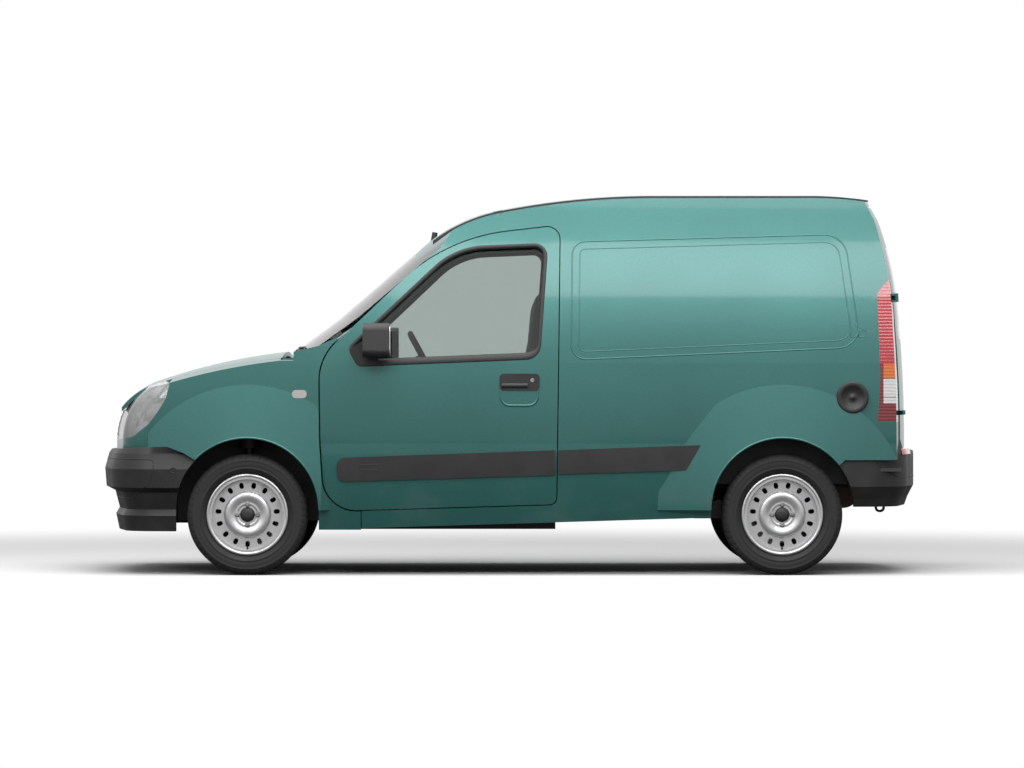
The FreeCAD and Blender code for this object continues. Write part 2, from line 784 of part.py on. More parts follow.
@functools.cache
def bonnet_room():
    """What the closed bonnet takes up, with its clearance."""
    # its underside is drawn in chords, which lie up to one gap under the arcs
    return bonnet_plan(GAP).common(above_bonnet(-BONNET_THICK - 2 * GAP))


def make_bonnet():
    slab = crowned(slab_face(bonnet_line(), BONNET_THICK), BONNET_CROWN_R, 1091, 9)
    shape = slab.common(bonnet_plan())
    return shape


def nose_section(front, side):
    """A plan outline of the nose: bowed front, round corners, and the side running back to the wing."""
    back = FRONT_X - 348
    return [
        (back, -side, 0), (front + 82, -side + 58, 150), (front, -210, 1700), (front, 210, 1700),
        (front + 82, side - 58, 150), (back, side, 0),
    ]


def nose_form(inset=0.0, z0=596.0):
    """The closed nose, a loft of plan outlines."""
    n = NOSE_FACE_X
    side = 762.0
    stations = [(n - 2, z0), (n + 1, 700), (n + 26, 790), (n + 70, 860), (n + 190, 950)]
    wires = []
    for front, z in stations:
        corners = [(u + (inset if abs(v) < side - 1 else 0), v - math.copysign(inset, v) * (1 if abs(v) > 300 else 0), r)
                   for u, v, r in nose_section(front, side)]
        wires.append(rounded_wire(corners, lambda u, v, z=z: vec(u, v, z)))
    return Part.makeLoft(wires, True, inset > 0)


def headlamp_outline():
    f = FRONT_X
    return [
        (f - 660, 655, 0), (f - 560, 672, 60), (f - 479, 738, 60), (f - 429, 806, 60), (f - 397, 858, 60),
        (f - 378, 930, 10), (f - 420, 948, 10), (f - 520, 925, 60), (f - 600, 838, 60), (f - 700, 720, 0),
    ]


def make_nose():
    """Lamps, nose panel and grille: the lofted nose shared out between them."""
    f = FRONT_X
    outer = nose_form()
    inner = nose_form(14.0)
    shell = outer.cut(inner)
    shell = shell.cut(above_bonnet())
    lamp_tool = side_prism(headlamp_outline(), -1000, -HEADLAMP_INNER)
    wing = front_wings()[0]
    lens = biggest(trimmed(shell.common(lamp_tool), [bonnet_room(), wing]))
    bowl = inner.cut(nose_form(62.0)).common(lamp_tool)
    bowl = biggest(trimmed(bowl, [bonnet_room(), above_bonnet(), wing]))
    panel = shell.common(box(f - NOSE_REACH, f - 479, -800, 800, 596, 1000))
    panel = trimmed(panel, [lamp_tool, mirror(lamp_tool), bonnet_room()] + front_wings())
    opening = rear_prism([(-350, 668, 18), (350, 668, 18), (350, 800, 18), (-350, 800, 18)], f - NOSE_REACH, f - NOSE_REACH + 300)
    grille_space = shell.common(opening)
    panel = panel.cut(opening)
    slats = []
    for i in range(5):
        z = 676 + i * 28
        slats.append(box(f - NOSE_REACH, f - NOSE_REACH + 300, -350, 350, z, z + 10))
    for y in (-350, -120, 110, 340):
        slats.append(box(f - NOSE_REACH, f - NOSE_REACH + 300, y, y + 10, 668, 800))
    grille = grille_space.common(joined(slats))
    return lens, bowl, panel, grille


def bumper_path(front, side, arch_end, corner, sign=-1):
    """The line round a bumper in plan, from one arch to the other."""
    out = [
        (arch_end, -side - 6, 0), (front - sign * 92, -side + 26, corner), (front, -200, 1600), (front, 200, 1600),
        (front - sign * 92, side - 26, corner), (arch_end, side + 6, 0),
    ]
    return rounded_wire(out, plan_place, closed=False)


def bumper_sweep(path, section, sign):
    """Carries a bumper section, in (out, z), round its path."""
    edge = path.Edges[0]
    start = edge.valueAt(edge.FirstParameter)
    wire = rounded_wire(section, lambda o, z: vec(start.x, start.y - o, z))
    shell = path.makePipeShell([wire], True, False)
    return shell


@functools.cache
def make_front_bumper():
    f = FRONT_X
    path = bumper_path(NOSE_X + 73, 742, f - 230, 170)
    section = [
        (22, 632, 0), (52, 590, 0), (73, 515, 0), (66, 425, 0), (22, 402, 0), (0, 318, 0), (18, 288, 0),
        (2, 212, 0), (-26, 212, 0), (-26, 632, 0),
    ]
    bar = bumper_sweep(path, section, -1)
    above = [(NOSE_X - 50, 601, 0), (f - 430, 628, 0), (f - 384, 629, 20), (f - 304, 593, 20), (f - 200, 547, 0),
             (f - 200, 700, 0), (NOSE_X - 50, 700, 0)]
    bar = bar.cut(side_prism(above, -1000, 1000))
    wheel = arch_cut(f)
    bar = trimmed(bar, [wheel, mirror(wheel), nose_form()] + front_wings())
    return biggest(bar)


def make_rear_bumper():
    r = REAR_X
    path = bumper_path(TAIL_X - 78, 742, r + 200, 150, 1)
    section = [
        (28, 742, 0), (52, 690, 0), (78, 590, 0), (78, 430, 0), (48, 372, 0), (34, 332, 0), (-26, 332, 0),
        (-26, 742, 0),
    ]
    bar = bumper_sweep(path, section, 1)
    above = [(r + 150, 560, 0), (r + 214, 610, 0), (r + 303, 721, 20), (r + 346, 737, 0), (r + 900, 741, 0),
             (r + 900, 900, 0), (r + 150, 900, 0)]
    bar = bar.cut(side_prism(above, -1000, 1000))
    half = REAR_DOOR_HALF + 17
    step = rear_prism([(-half, 600, 20), (half, 600, 20), (half, 900, 0), (-half, 900, 0)], 1500, 2200)
    wheel = arch_cut(r)
    houses = [make_rear_house(), mirror(make_rear_house())]
    return biggest(trimmed(bar, [wheel, mirror(wheel), step, make_floor(), make_sill()] + houses + body_sides()))


@functools.cache
def make_front_door():
    shape = side_slab(DOOR_DEPTH, FRAME_DEPTH).common(side_prism(door_outline(), -1000, -400))
    shape = shape.cut(side_prism(window_outline(), -1000, -400))
    shape = shape.cut(box(DOOR_AXIS_X - 200, DOOR_AXIS_X + 28, -SKIN_HALF + DOOR_FLANGE, -600, 420, 960))
    fixed, moving = door_hinges()
    return joined([trimmed(shape, hinge_rooms())] + moving)


@functools.cache
def make_door_glass():
    mid = FRAME_DEPTH / 2
    outer = side_slab(mid + 2.5, mid + 2.5)
    inner = side_slab(mid - 2.5, mid - 2.5)
    return biggest(outer.cut(inner).common(side_prism(window_outline(), -1000, -400)))


def make_door_fittings():
    """Mirror on the window's front corner, handle and rub strip, on the left door."""
    f = FRONT_X
    base = [(f + 540, 1016, 20), (f + 640, 1020, 10), (f + 625, 1180, 20), (f + 498, 1100, 20)]
    y0 = skin(f + 600, 1080)
    foot = side_prism(base, y0 - 14, y0 + 22)
    door = make_front_door()
    foot = trimmed(foot, [door, make_door_glass()])
    head = rear_prism([(y0 - 180, 1062, 30), (y0 - 40, 1056, 18), (y0 - 34, 1215, 26), (y0 - 170, 1226, 36)],
                      f + 566, f + 696)
    arm = rear_prism([(y0 - 60, 1060, 4), (y0 - 6, 1052, 4), (y0 - 6, 1096, 4), (y0 - 60, 1110, 4)], f + 590, f + 640)
    mirror_piece = biggest(foot.fuse(arm).fuse(head))
    handle = make_handle()
    strip = make_rub_strip(f + 436, f + 1497).cut(door)
    return Part.Compound([mirror_piece, handle, strip])


def make_handle():
    x0 = FRONT_X + 1226.0
    y0 = skin(x0 + 97, 938)
    grip = side_prism([(x0, 898, 20), (x0 + 194, 898, 20), (x0 + 194, 979, 20), (x0, 979, 20)], y0 - 8, y0)
    return grip.cut(make_front_door())


def strip_z(x):
    """The middle height of the rub strips, which rise to the rear."""
    return 514.0 + (x - FRONT_X - 472) * 0.0345


def make_rub_strip(x0, x1):
    """A length of the band that stands proud of the skin from x0 to x1, round at the van's front end."""
    front_r = 40 if x0 < FRONT_X + 500 else 4
    corners = [(x0, strip_z(x0) - 58, front_r), (x1, strip_z(x1) - 62, 4), (x1, strip_z(x1) + 59, 4),
               (x0, strip_z(x0) + 58, front_r)]
    proud = side_slab(20.0, 20.0).copy()
    proud.translate(vec(0, -9, 0))
    return biggest(proud.cut(side_slab(60.0, 60.0)).common(side_prism(corners, -1000, -500)))


def repeater_shape():
    x, z = FRONT_X + 254.5, 880.0
    y0 = skin(x, z)
    return side_prism([(x - 36, z - 20, 20), (x + 36, z - 20, 20), (x + 36, z + 20, 20), (x - 36, z + 20, 20)],
                      y0 - 7, y0 + 10)


def rear_door_space():
    """What the rear doors take up, with their clearance."""
    half, top = REAR_DOOR_HALF, REAR_DOOR_TOP_Z
    g = 5.0
    corners = [(-half - g, REAR_DOOR_BOTTOM_Z - g, 0), (half + g, REAR_DOOR_BOTTOM_Z - g, 0), (half + g, 1450, 200),
               (half - 55 + g, top + g, 40), (-half + 55 - g, top + g, 40), (-half - g, 1450, 200)]
    return rear_prism(corners, TAIL_FACE_X - 320, TAIL_X + 60)


def make_rear_door(y0, y1):
    inner = [(TAIL_FACE_X - 190 - 70, 1850), (TAIL_FACE_X - 118, 1600), (TAIL_FACE_X - 70, 1200),
             (TAIL_FACE_X - 50, 560)]
    slab = bowed(closed_line(tail_line(), inner), TAIL_FACE_X - TAIL_PLAN_R, 13)
    half, top = REAR_DOOR_HALF, REAR_DOOR_TOP_Z
    corners = [(-half, REAR_DOOR_BOTTOM_Z, 10), (half, REAR_DOOR_BOTTOM_Z, 10), (half, 1450, 200),
               (half - 55, top, 40), (-half + 55, top, 40), (-half, 1450, 200)]
    slab = slab.common(rear_prism(corners, TAIL_FACE_X - 320, TAIL_X + 60))
    slab = slab.common(box(TAIL_FACE_X - 320, TAIL_X + 60, y0, y1, 500, 1900))
    return slab


def rear_window(y0, y1):
    m = 95.0
    return rear_prism([(y0 + m, 1150, 50), (y1 - m + 30, 1150, 50), (y1 - m + 30, 1600, 50), (y0 + m + 25, 1600, 50)],
                      TAIL_FACE_X - 320, TAIL_X + 60)


# Floor, bulkhead and inner pieces

def tow_eye(x, y, z, top):
    """A flat lug hanging from a rail, with a round hole across the van."""
    lug = side_prism([(x - 26, z - 26, 24), (x + 26, z - 26, 24), (x + 26, top, 0), (x - 26, top, 0)],
                     y - TOW_LUG / 2, y + TOW_LUG / 2)
    return lug.cut(rod(vec(x, y - 40, z), vec(x, y + 40, z), TOW_HOLE_R))


def tow_plate(x, y, top):
    """A flat plate ahead of a cross beam, with a round upright hole."""
    plate = plan_prism([(x - 26, y - 26, 24), (x + 50, y - 26, 0), (x + 50, y + 26, 0), (x - 26, y + 26, 24)],
                       top - TOW_LUG, top)
    return plate.cut(Part.makeCylinder(TOW_HOLE_R, 60, vec(x, y, top - 40)))


@functools.cache
def wheel_house():
    """The drum over the left rear wheel, and the room inside it."""
    r = REAR_X
    drum = Part.makeCylinder(LINER_R + LINER_THICK, 225, vec(r, -800, ARCH_Z), vec(0, 1, 0))
    drum = drum.common(box(r - 500, r + 500, -800, -500, 440, 900))
    space = Part.makeCylinder(LINER_R, 220, vec(r, -801, ARCH_Z), vec(0, 1, 0))
    space = space.fuse(box(r - LINER_R, r + LINER_R, -801, -581, 200, ARCH_Z))
    return drum, space


def make_rear_house():
    drum, space = wheel_house()
    return biggest(trimmed(drum, [space, body_sides()[0], behind_tail()]))


@functools.cache
def make_floor():
    f, r = FRONT_X, REAR_X
    t = FLOOR_THICK
    top = [(f + 276, CAB_FLOOR_Z), (f + 1430, CAB_FLOOR_Z), (f + 1470, LOAD_FLOOR_Z), (TAIL_FACE_X - 62, LOAD_FLOOR_Z)]
    under = [(top[3][0], LOAD_FLOOR_Z - t), (f + 1470 + t, LOAD_FLOOR_Z - t), (f + 1430 + t, CAB_FLOOR_Z - t),
             (top[0][0], CAB_FLOOR_Z - t)]
    plate = side_prism([(x, z, 0) for x, z in top + under], -790, 790)
    rails = []
    for y in (-455.0, 395.0):
        rails.append(box(f + 380, f + 1500, y, y + 60, 215, CAB_FLOOR_Z - t))
        rails.append(box(f + 1440, TAIL_FACE_X - 80, y, y + 60, 420, LOAD_FLOOR_Z - t))
        rails.append(box(f + 1440, f + 1500, y, y + 60, 215, LOAD_FLOOR_Z - t))
    shape = joined([plate] + rails)
    shape = shape.fuse(box(f + 1500, TAIL_FACE_X - 160, -PANEL_HALF, PANEL_HALF, LOAD_FLOOR_Z - 2, LOAD_FLOOR_Z + PANEL_RISE))
    drum, space = wheel_house()
    shape = trimmed(shape, [drum, space, mirror(drum), mirror(space)])
    for x in (f + 1640, f + 1640 + ANCHOR_SPACING_X):
        for y in (-ANCHOR_SPACING_Y / 2, ANCHOR_SPACING_Y / 2):
            shape = shape.cut(Part.makeCylinder(ANCHOR_HOLE_R, 60, vec(x, y, LOAD_FLOOR_Z - 40)))
    shape = shape.fuse(tow_eye(TAIL_FACE_X - 75, 425, 300, LOAD_FLOOR_Z - t))
    door = side_slab(DOOR_DEPTH + GAP + 3, DOOR_DEPTH + GAP + 3).common(side_prism(door_outline(), -1000, -400, 8))
    shape = trimmed(shape, body_sides() + [wheel_room(), mirror(wheel_room()), behind_tail(), door, mirror(door)])
    return biggest(shape)


def make_sill():
    """The threshold under the rear doors, a beam of its own on the load floor."""
    beam = box(TAIL_FACE_X - 130, TAIL_FACE_X - 62, -700, 700, LOAD_FLOOR_Z + SILL_SEAM, REAR_DOOR_BOTTOM_Z - 10)
    return biggest(trimmed(beam, body_sides() + [behind_tail()]))


def make_arch_liner():
    """One inner front arch: a half drum with its inner wall, open to the wheel."""
    f = FRONT_X
    drum = wheel_room().common(box(f - 400, f + 400, -800, -400, ARCH_Z - 60, 800))
    space = Part.makeCylinder(LINER_R, 600, vec(f, -LINER_IN - LINER_THICK - 600, ARCH_Z), vec(0, 1, 0))
    strut_hole = Part.makeCylinder(70, 200, vec(f, -KINGPIN_Y, 600))
    return biggest(trimmed(drum, [space, strut_hole, front_wings()[0], body_sides()[0], make_front_bumper()]))


def wheel_profile_tyre():
    w = TYRE_WIDTH / 2
    half = [(BEAD_R + 0.4, RIM_HALF - 14), (FLANGE_R + BEAD_RISE, w), (TYRE_R, TREAD_HALF)]
    return half + [(r, -y) for r, y in reversed(half)]


def make_tyre():
    face = polygon_face([vec(r, y, 0) for r, y in wheel_profile_tyre()])
    return face.revolve(vec(0, 0, 0), vec(0, 1, 0), 360)


def make_rim():
    """A pressed steel wheel: barrel and flanges, a dished disc with oval vents, and the hub. Its face looks to -Y."""
    d = DISC_FACE_Y
    profile = [
        (SPINDLE_R + PIN_GAP, d), (BELL_R - 6, d), (BELL_R + 6, d - 10), (BEAD_R - 6, d - 10),
        (BEAD_R - 6, RIM_HALF + 2), (FLANGE_R, RIM_HALF + 2), (FLANGE_R, RIM_HALF - 2.5), (BEAD_R, RIM_HALF - 2.5),
        (BEAD_R, -RIM_HALF + 2.5), (FLANGE_R, -RIM_HALF + 2.5), (FLANGE_R, -RIM_HALF - 2), (BEAD_R - 6, -RIM_HALF - 2),
        (BEAD_R - 6, d - 16), (40, d - 16), (40, -42), (SPINDLE_R + PIN_GAP, -42),
    ]
    face = polygon_face([vec(r, -y, 0) for r, y in profile])
    wheel = face.revolve(vec(0, 0, 0), vec(0, 1, 0), 360)
    vents = []
    for i in range(VENT_COUNT):
        oval = [(VENT_CIRCLE_R - 13, -6, 0), (VENT_CIRCLE_R - 5, -11, 0), (VENT_CIRCLE_R + 9, -11, 0),
                (VENT_CIRCLE_R + 16, -6, 0), (VENT_CIRCLE_R + 16, 6, 0), (VENT_CIRCLE_R + 9, 11, 0),
                (VENT_CIRCLE_R - 5, 11, 0), (VENT_CIRCLE_R - 13, 6, 0)]
        hole = side_prism(oval, -100, 0)
        hole.rotate(vec(0, 0, 0), vec(0, 1, 0), 90 + i * 360.0 / VENT_COUNT)
        vents.append(hole)
    return wheel.cut(vents)


def make_knuckle():
    """The left hub carrier: sleeve on the strut, seat on the lower arm's pin, spindle and brake backplate."""
    f, y = FRONT_X, -KINGPIN_Y
    post = Part.makeCylinder(STRUT_R + 8, 210, vec(f, y, 226))
    spindle = rod(vec(f, y, TYRE_R), vec(f, -TRACK / 2 - 40, TYRE_R), SPINDLE_R)
    plate = rod(vec(f, -648, TYRE_R), vec(f, -656, TYRE_R), 112)
    boss = rod(vec(f, y, TYRE_R), vec(f, -656, TYRE_R), 44)
    shape = joined([post, spindle, plate, boss])
    socket = Part.makeCylinder(STRUT_R - 4 + PIN_GAP, 60, vec(f, y, 396))
    foot = Part.makeCylinder(10 + PIN_GAP, 40, vec(f, y, 226))
    return trimmed(shape, [socket, foot])


def make_front_suspension():
    f = FRONT_X
    beam = box(f - 90, f + 120, -430, 430, 214, 262)
    pieces = [beam]
    for s in (-1, 1):
        arm = plan_prism([(f - 80, s * 420, 0), (f - 24, s * (KINGPIN_Y + 16), 0), (f + 24, s * (KINGPIN_Y + 16), 0),
                          (f + 110, s * 420, 0)][:: s], 200, 214 + 6)
        pin = Part.makeCylinder(10, 40, vec(f, s * KINGPIN_Y, 214))
        strut = Part.makeCylinder(STRUT_R - 4, 560, vec(f, s * KINGPIN_Y, 398 + 4))
        tube = Part.makeCylinder(STRUT_R + 2, 420, vec(f, s * KINGPIN_Y, 480))
        seat = Part.makeCylinder(62, 8, vec(f, s * KINGPIN_Y, 616))
        spring = Part.makeCylinder(56, 260, vec(f, s * KINGPIN_Y, 616)).cut(
            Part.makeCylinder(44, 260, vec(f, s * KINGPIN_Y, 616)))
        cap = Part.makeCylinder(66, 24, vec(f, s * KINGPIN_Y, 876))
        tower = box(f - 50, f + 50, min(s * RAIL_IN, s * 640), max(s * RAIL_IN, s * 640), 900, 916)
        pieces += [arm, pin, strut, tube, seat, spring, cap, tower]
    for y in (-RAIL_OUT, RAIL_IN):
        wide = RAIL_OUT - RAIL_IN
        pieces.append(box(f - 560, f + 262, y, y + wide, 262, 322))
        pieces.append(box(f - 40, f + 40, y, y + wide, 262, 916))
    pieces.append(box(f - 90, f + 10, -RAIL_OUT, RAIL_OUT, 262, 322))
    pieces.append(box(TOW_X + 19, TOW_X + 64, -520, 520, 262, 322))
    pieces.append(tow_plate(TOW_X, 200, 264))
    return joined(pieces)


def make_rear_axle():
    r = REAR_X
    pieces = [rod(vec(r - 300, -560, 330), vec(r - 300, 560, 330), 32)]
    for s in (-1, 1):
        pieces.append(box(r - 420, r + 40, min(s * 520, s * 560), max(s * 520, s * 560), 270, 330))
        pieces.append(rod(vec(r, s * 520, TYRE_R), vec(r, s * (TRACK / 2 + 40), TYRE_R), SPINDLE_R))
        pieces.append(rod(vec(r, s * 560, TYRE_R), vec(r, s * 656, TYRE_R), 100))
        pieces.append(box(r - 440, r - 380, min(s * 455, s * 560), max(s * 455, s * 560), 300, LOAD_FLOOR_Z - FLOOR_THICK))
    return joined(pieces)


def make_engine():
    f = FRONT_X
    block = box(f - 330, f + 130, -340, 340, 322, 820)
    return block


def make_tank():
    r = REAR_X
    return plan_prism([(r - 1000, -360, 60), (r - 480, -360, 60), (r - 480, 360, 60), (r - 1000, 360, 60)], 262, 404 + 100)


def make_exhaust():
    r = REAR_X
    silencer = rod(vec(r + 330, -250, 395), vec(r + 330, 250, 395), 82)
    tail = rod(vec(r + 330, -200, 350), vec(TAIL_X - 150, -200, 350), 20)
    hanger = box(r + 310, r + 350, -20, 20, 395, LOAD_FLOOR_Z - FLOOR_THICK)
    return joined([silencer, tail, hanger])


def make_dashboard():
    f = FRONT_X
    profile = [
        (f + 182, 1032, 0), (f + 182, 640, 0), (f + 560, 640, 40), (f + 640, 820, 60), (f + 600, 950, 40),
        (f + 520, 1000, 60), (f + 300, 1030, 0),
    ]
    shape = side_prism(profile, -682, 682)
    door = side_slab(DOOR_DEPTH + 8, DOOR_DEPTH + 8)
    column_end = steering_centre() + column_way() * 70
    column = rod(column_end, column_end + column_way() * 330, 24)
    shape = shape.fuse(column)
    return biggest(trimmed(shape, [door, mirror(door), make_scuttle()] + body_sides() + front_wings()))


def column_way():
    t = math.radians(STEER_WHEEL_TILT)
    return vec(-math.cos(t), 0, -math.sin(t))


def steering_centre():
    return vec(FRONT_X + 864, -370, 1027)


def make_steering_wheel():
    """Rim, three spokes and hub about the local Z axis, then set on the column."""
    c = steering_centre()
    way = column_way()
    r = STEER_WHEEL_R
    t = 15.0
    ring = [(r - t, 0), (r - t * 0.5, -t * 0.87), (r + t * 0.5, -t * 0.87), (r + t, 0), (r + t * 0.5, t * 0.87),
            (r - t * 0.5, t * 0.87)]
    rim = polygon_face([vec(x, 0, z) for x, z in ring]).revolve(vec(0, 0, 0), vec(0, 0, 1), 360)
    hub = Part.makeCylinder(58, 34, vec(0, 0, 8))
    pieces = [rim, hub, Part.makeCylinder(20, 62, vec(0, 0, 8))]
    for turn in (0, 180, 270):
        spoke = box(40, r - 6, -22, 22, 6, 16)
        spoke.rotate(vec(0, 0, 0), vec(0, 0, 1), turn)
        pieces.append(spoke)
    wheel = joined(pieces)
    wheel.Placement = FreeCAD.Placement(c, FreeCAD.Rotation(vec(0, 0, 1), way))
    return wheel


def make_seat(side):
    f = FRONT_X
    y0 = side * 370 - 240
    cushion = side_prism([(f + 830, 470, 30), (f + 1300, 470, 30), (f + 1320, 590, 40), (f + 1240, 600, 60),
                          (f + 840, 610, 50)], y0, y0 + 480)
    back = side_prism([(f + 1262, 590, 20), (f + 1372, 590, 20), (f + 1482, 1130, 40), (f + 1494, 1380, 30),
                       (f + 1400, 1390, 40), (f + 1376, 1140, 60)], y0 + 10, y0 + 470)
    return cushion.fuse(back).removeSplitter()


def make_seat_base(side):
    f = FRONT_X
    y0 = side * 370 - 200
    return box(f + 870, f + 1270, y0, y0 + 400, CAB_FLOOR_Z, 470)


def make_roof_trim():
    strip = crowned(slab_face([((a[0], a[1] + 7), (m[0], m[1] + 7) if m else None, (b[0], b[1] + 7))
                               for a, m, b in roof_line()], 7), ROOF_CROWN_R, ROOF_Z, 8)
    f = FRONT_X
    line = [(f + 900, 652), (f + 1220, 606), (f + 1600, 586), (TAIL_X - 260, 586)]
    corners = [(x, y, 0) for x, y in line] + [(x, y - 20, 0) for x, y in reversed(line)]
    band = plan_prism(corners, 1500, ABOVE_ROOF_Z)
    right = biggest(strip.common(band).cut([make_roof(), body_sides()[1]]))
    aerial = rod(vec(f + 884, 0, 1600), vec(f + 900, 0, 1690), 14).cut(make_roof())
    return Part.Compound([right, mirror(right), max(aerial.Solids, key=lambda s: s.BoundBox.ZMax)])


def wiper_line(y):
    """Where a parked blade lies ahead of the bowed screen."""
    return FRONT_X + 221 + y * y / (2 * (SCREEN_AXIS_X - FRONT_X - 216))


def wiper_pivots():
    return [rod(vec(wiper_line(y) - 18, y, 1014), vec(wiper_line(y) - 18, y, 1098), WIPER_PIVOT_R) for y in WIPER_YS]


def make_wipers():
    """Two parked wipers: a pivot in the cowl trough, a short arm, and a blade along the foot of the screen."""
    found = []
    windscreen = make_windscreen()
    for y, pivot in zip(WIPER_YS, wiper_pivots()):
        top = vec(wiper_line(y) - 18, y, 1096)
        ends = [vec(wiper_line(y + by), y + by, 1110) for by in (60, 170, 280, 390, 500)]
        pieces = [pivot, bar(top, ends[0], 3.5)] + [bar(a, b, 4) for a, b in zip(ends, ends[1:])]
        found.append(biggest(trimmed(joined(pieces), [windscreen])))
    return Part.Compound(found)


def placed_wheel(shape, x, side):
    """Sets a left wheel piece at an axle's end; the right one is turned half round, so that its face looks out."""
    piece = shape.copy()
    if side > 0:
        piece.rotate(vec(0, 0, 0), vec(0, 0, 1), 180)
    piece.translate(vec(x, side * TRACK / 2, TYRE_R))
    return piece


def rear_door_reach(name):
    """The drum about a rear door's axis that its free edge stays inside, so that it turns clear of the other door."""
    low, high = rear_axis_point(0), rear_axis_point(2200)
    split = REAR_SPLIT_Y if name == "left" else -REAR_SPLIT_Y
    drum = rod(low, high, split - GAP / 2 - low.y)
    return drum if name == "left" else mirror(drum)


def make_rear_doors():
    """Both rear doors with their eyes, and the panes let into them."""
    half = REAR_DOOR_HALF
    moving = rear_hinges()[1]
    for name, y0, y1, eyes in (("left", -half, REAR_SPLIT_Y - GAP / 2, moving),
                               ("right", REAR_SPLIT_Y + GAP / 2, half, [mirror(m) for m in moving])):
        door = make_rear_door(y0, y1).common(rear_door_reach(name))
        window = rear_window(y0, y1)
        pane = door.common(window)
        put("rear_door_" + name, joined([door.cut(window)] + eyes))
        shifted = pane.copy()
        shifted.translate(vec(-6, 0, 0))
        put("rear_glass_" + name, biggest(pane.cut(shifted)))


def make_side_trim():
    side = body_sides()[0]
    cap_x, cap_z = TAIL_X - 350.5, 863.5
    cap_y = skin(cap_x, cap_z)
    cap = rod(vec(cap_x, cap_y - 5, cap_z), vec(cap_x, cap_y + 8, cap_z), 78)
    put("body_side_right", mirror(side))
    put("body_side_left", side.cut(cap))
    put("fuel_cap", cap)
    lamp = make_body_side()[1]
    put("tail_lamps", Part.Compound([lamp, mirror(lamp)]))
    repeater = repeater_shape()
    put("side_repeaters", Part.Compound([repeater, mirror(repeater)]))
    rear = make_rub_strip(FRONT_X + 1511, FRONT_X + 2200).cut([arch_cut(REAR_X, ARCH_R + 12), side])
    rear = biggest(rear)
    put("side_mouldings", Part.Compound([rear, mirror(rear)]))


def build():
    make_side_trim()
    put_pair("front_wing", front_wings()[0])
    put("roof_panel", make_roof())
    put("windscreen", make_windscreen())
    put("scuttle", make_scuttle())
    put("bonnet", joined([make_bonnet()] + bonnet_hinges()[1]))
    lens, bowl, panel, grille = make_nose()
    put("nose_panel", biggest(panel))
    put("grille", biggest(grille))
    put("headlamp_lenses", Part.Compound([lens, mirror(lens)]))
    put("headlamp_bowls", Part.Compound([bowl, mirror(bowl)]))
    put("front_bumper", make_front_bumper())
    put("rear_bumper", make_rear_bumper())
    put_pair("front_door", make_front_door())
    put_pair("door_glass", make_door_glass())
    put_pair("door_fittings", make_door_fittings())
    make_rear_doors()
    put("floor_pan", Part.Compound([make_floor(), make_sill()]))
    liner = make_arch_liner()
    house = make_rear_house()
    put("arch_liners", Part.Compound([liner, mirror(liner), house, mirror(house)]))
    put("engine_block", make_engine())
    put("front_suspension", make_front_suspension())
    put("rear_axle", make_rear_axle())
    put("fuel_tank", make_tank())
    put("exhaust", make_exhaust())
    put("dashboard", make_dashboard())
    put("steering_wheel", make_steering_wheel())
    for name, side in (("left", -1), ("right", 1)):
        put("seat_" + name, make_seat(side))
    put("seat_bases", Part.Compound([make_seat_base(-1), make_seat_base(1)]))
    put("roof_trim", make_roof_trim())
    put("wipers", make_wipers())
    put_pair("knuckle", make_knuckle())
    tyre, rim = make_tyre(), make_rim()
    for name, x, side in (("front_left", FRONT_X, -1), ("front_right", FRONT_X, 1),
                          ("rear_left", REAR_X, -1), ("rear_right", REAR_X, 1)):
        put("tyre_" + name, placed_wheel(tyre, x, side))
        put("rim_" + name, placed_wheel(rim, x, side))


def main():
    build()
    os.makedirs("parts", exist_ok=True)
    for name, shape in parts.items():
        shape.exportStep("parts/" + name + ".step")
    print(len(parts), "nodes")


main()
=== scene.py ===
import math

import bpy
import numpy as np
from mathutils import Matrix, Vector
from mathutils.bvhtree import BVHTree


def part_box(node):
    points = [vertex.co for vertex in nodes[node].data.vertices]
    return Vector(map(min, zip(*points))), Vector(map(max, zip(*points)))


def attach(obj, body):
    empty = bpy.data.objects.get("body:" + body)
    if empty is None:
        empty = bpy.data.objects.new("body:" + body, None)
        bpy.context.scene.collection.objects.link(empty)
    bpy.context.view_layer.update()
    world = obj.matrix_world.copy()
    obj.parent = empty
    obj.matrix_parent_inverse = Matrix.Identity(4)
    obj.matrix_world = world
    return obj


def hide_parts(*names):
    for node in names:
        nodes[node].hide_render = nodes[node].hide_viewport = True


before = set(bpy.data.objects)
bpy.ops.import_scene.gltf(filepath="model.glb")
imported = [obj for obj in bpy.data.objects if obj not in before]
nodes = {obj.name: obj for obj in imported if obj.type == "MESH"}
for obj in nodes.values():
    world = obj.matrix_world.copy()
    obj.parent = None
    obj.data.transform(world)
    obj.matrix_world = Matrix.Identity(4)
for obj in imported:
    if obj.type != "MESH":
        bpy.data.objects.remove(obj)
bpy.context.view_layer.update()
print("frame loaded:", len(nodes), "nodes")

# The van faces -X, its left side looks to -Y and Z is up. Lengths are in metres.

# Camera

view = {
    "place": (0.0138, -23.96, 0.929),
    "lens": 167.8,
    "sensor": 36.0,
}


def makeCamera():
    camera = bpy.data.objects.new("viewCamera", bpy.data.cameras.new("viewCamera"))
    bpy.context.scene.collection.objects.link(camera)
    camera.location = view["place"]
    camera.rotation_euler = (math.radians(90), 0, 0)
    camera.data.lens = view["lens"]
    camera.data.sensor_width = view["sensor"]
    camera.data.clip_end = 200
    bpy.context.scene.camera = camera


makeCamera()


# Shader maths: Flow wraps one socket, and sums on it add Math nodes to the same tree

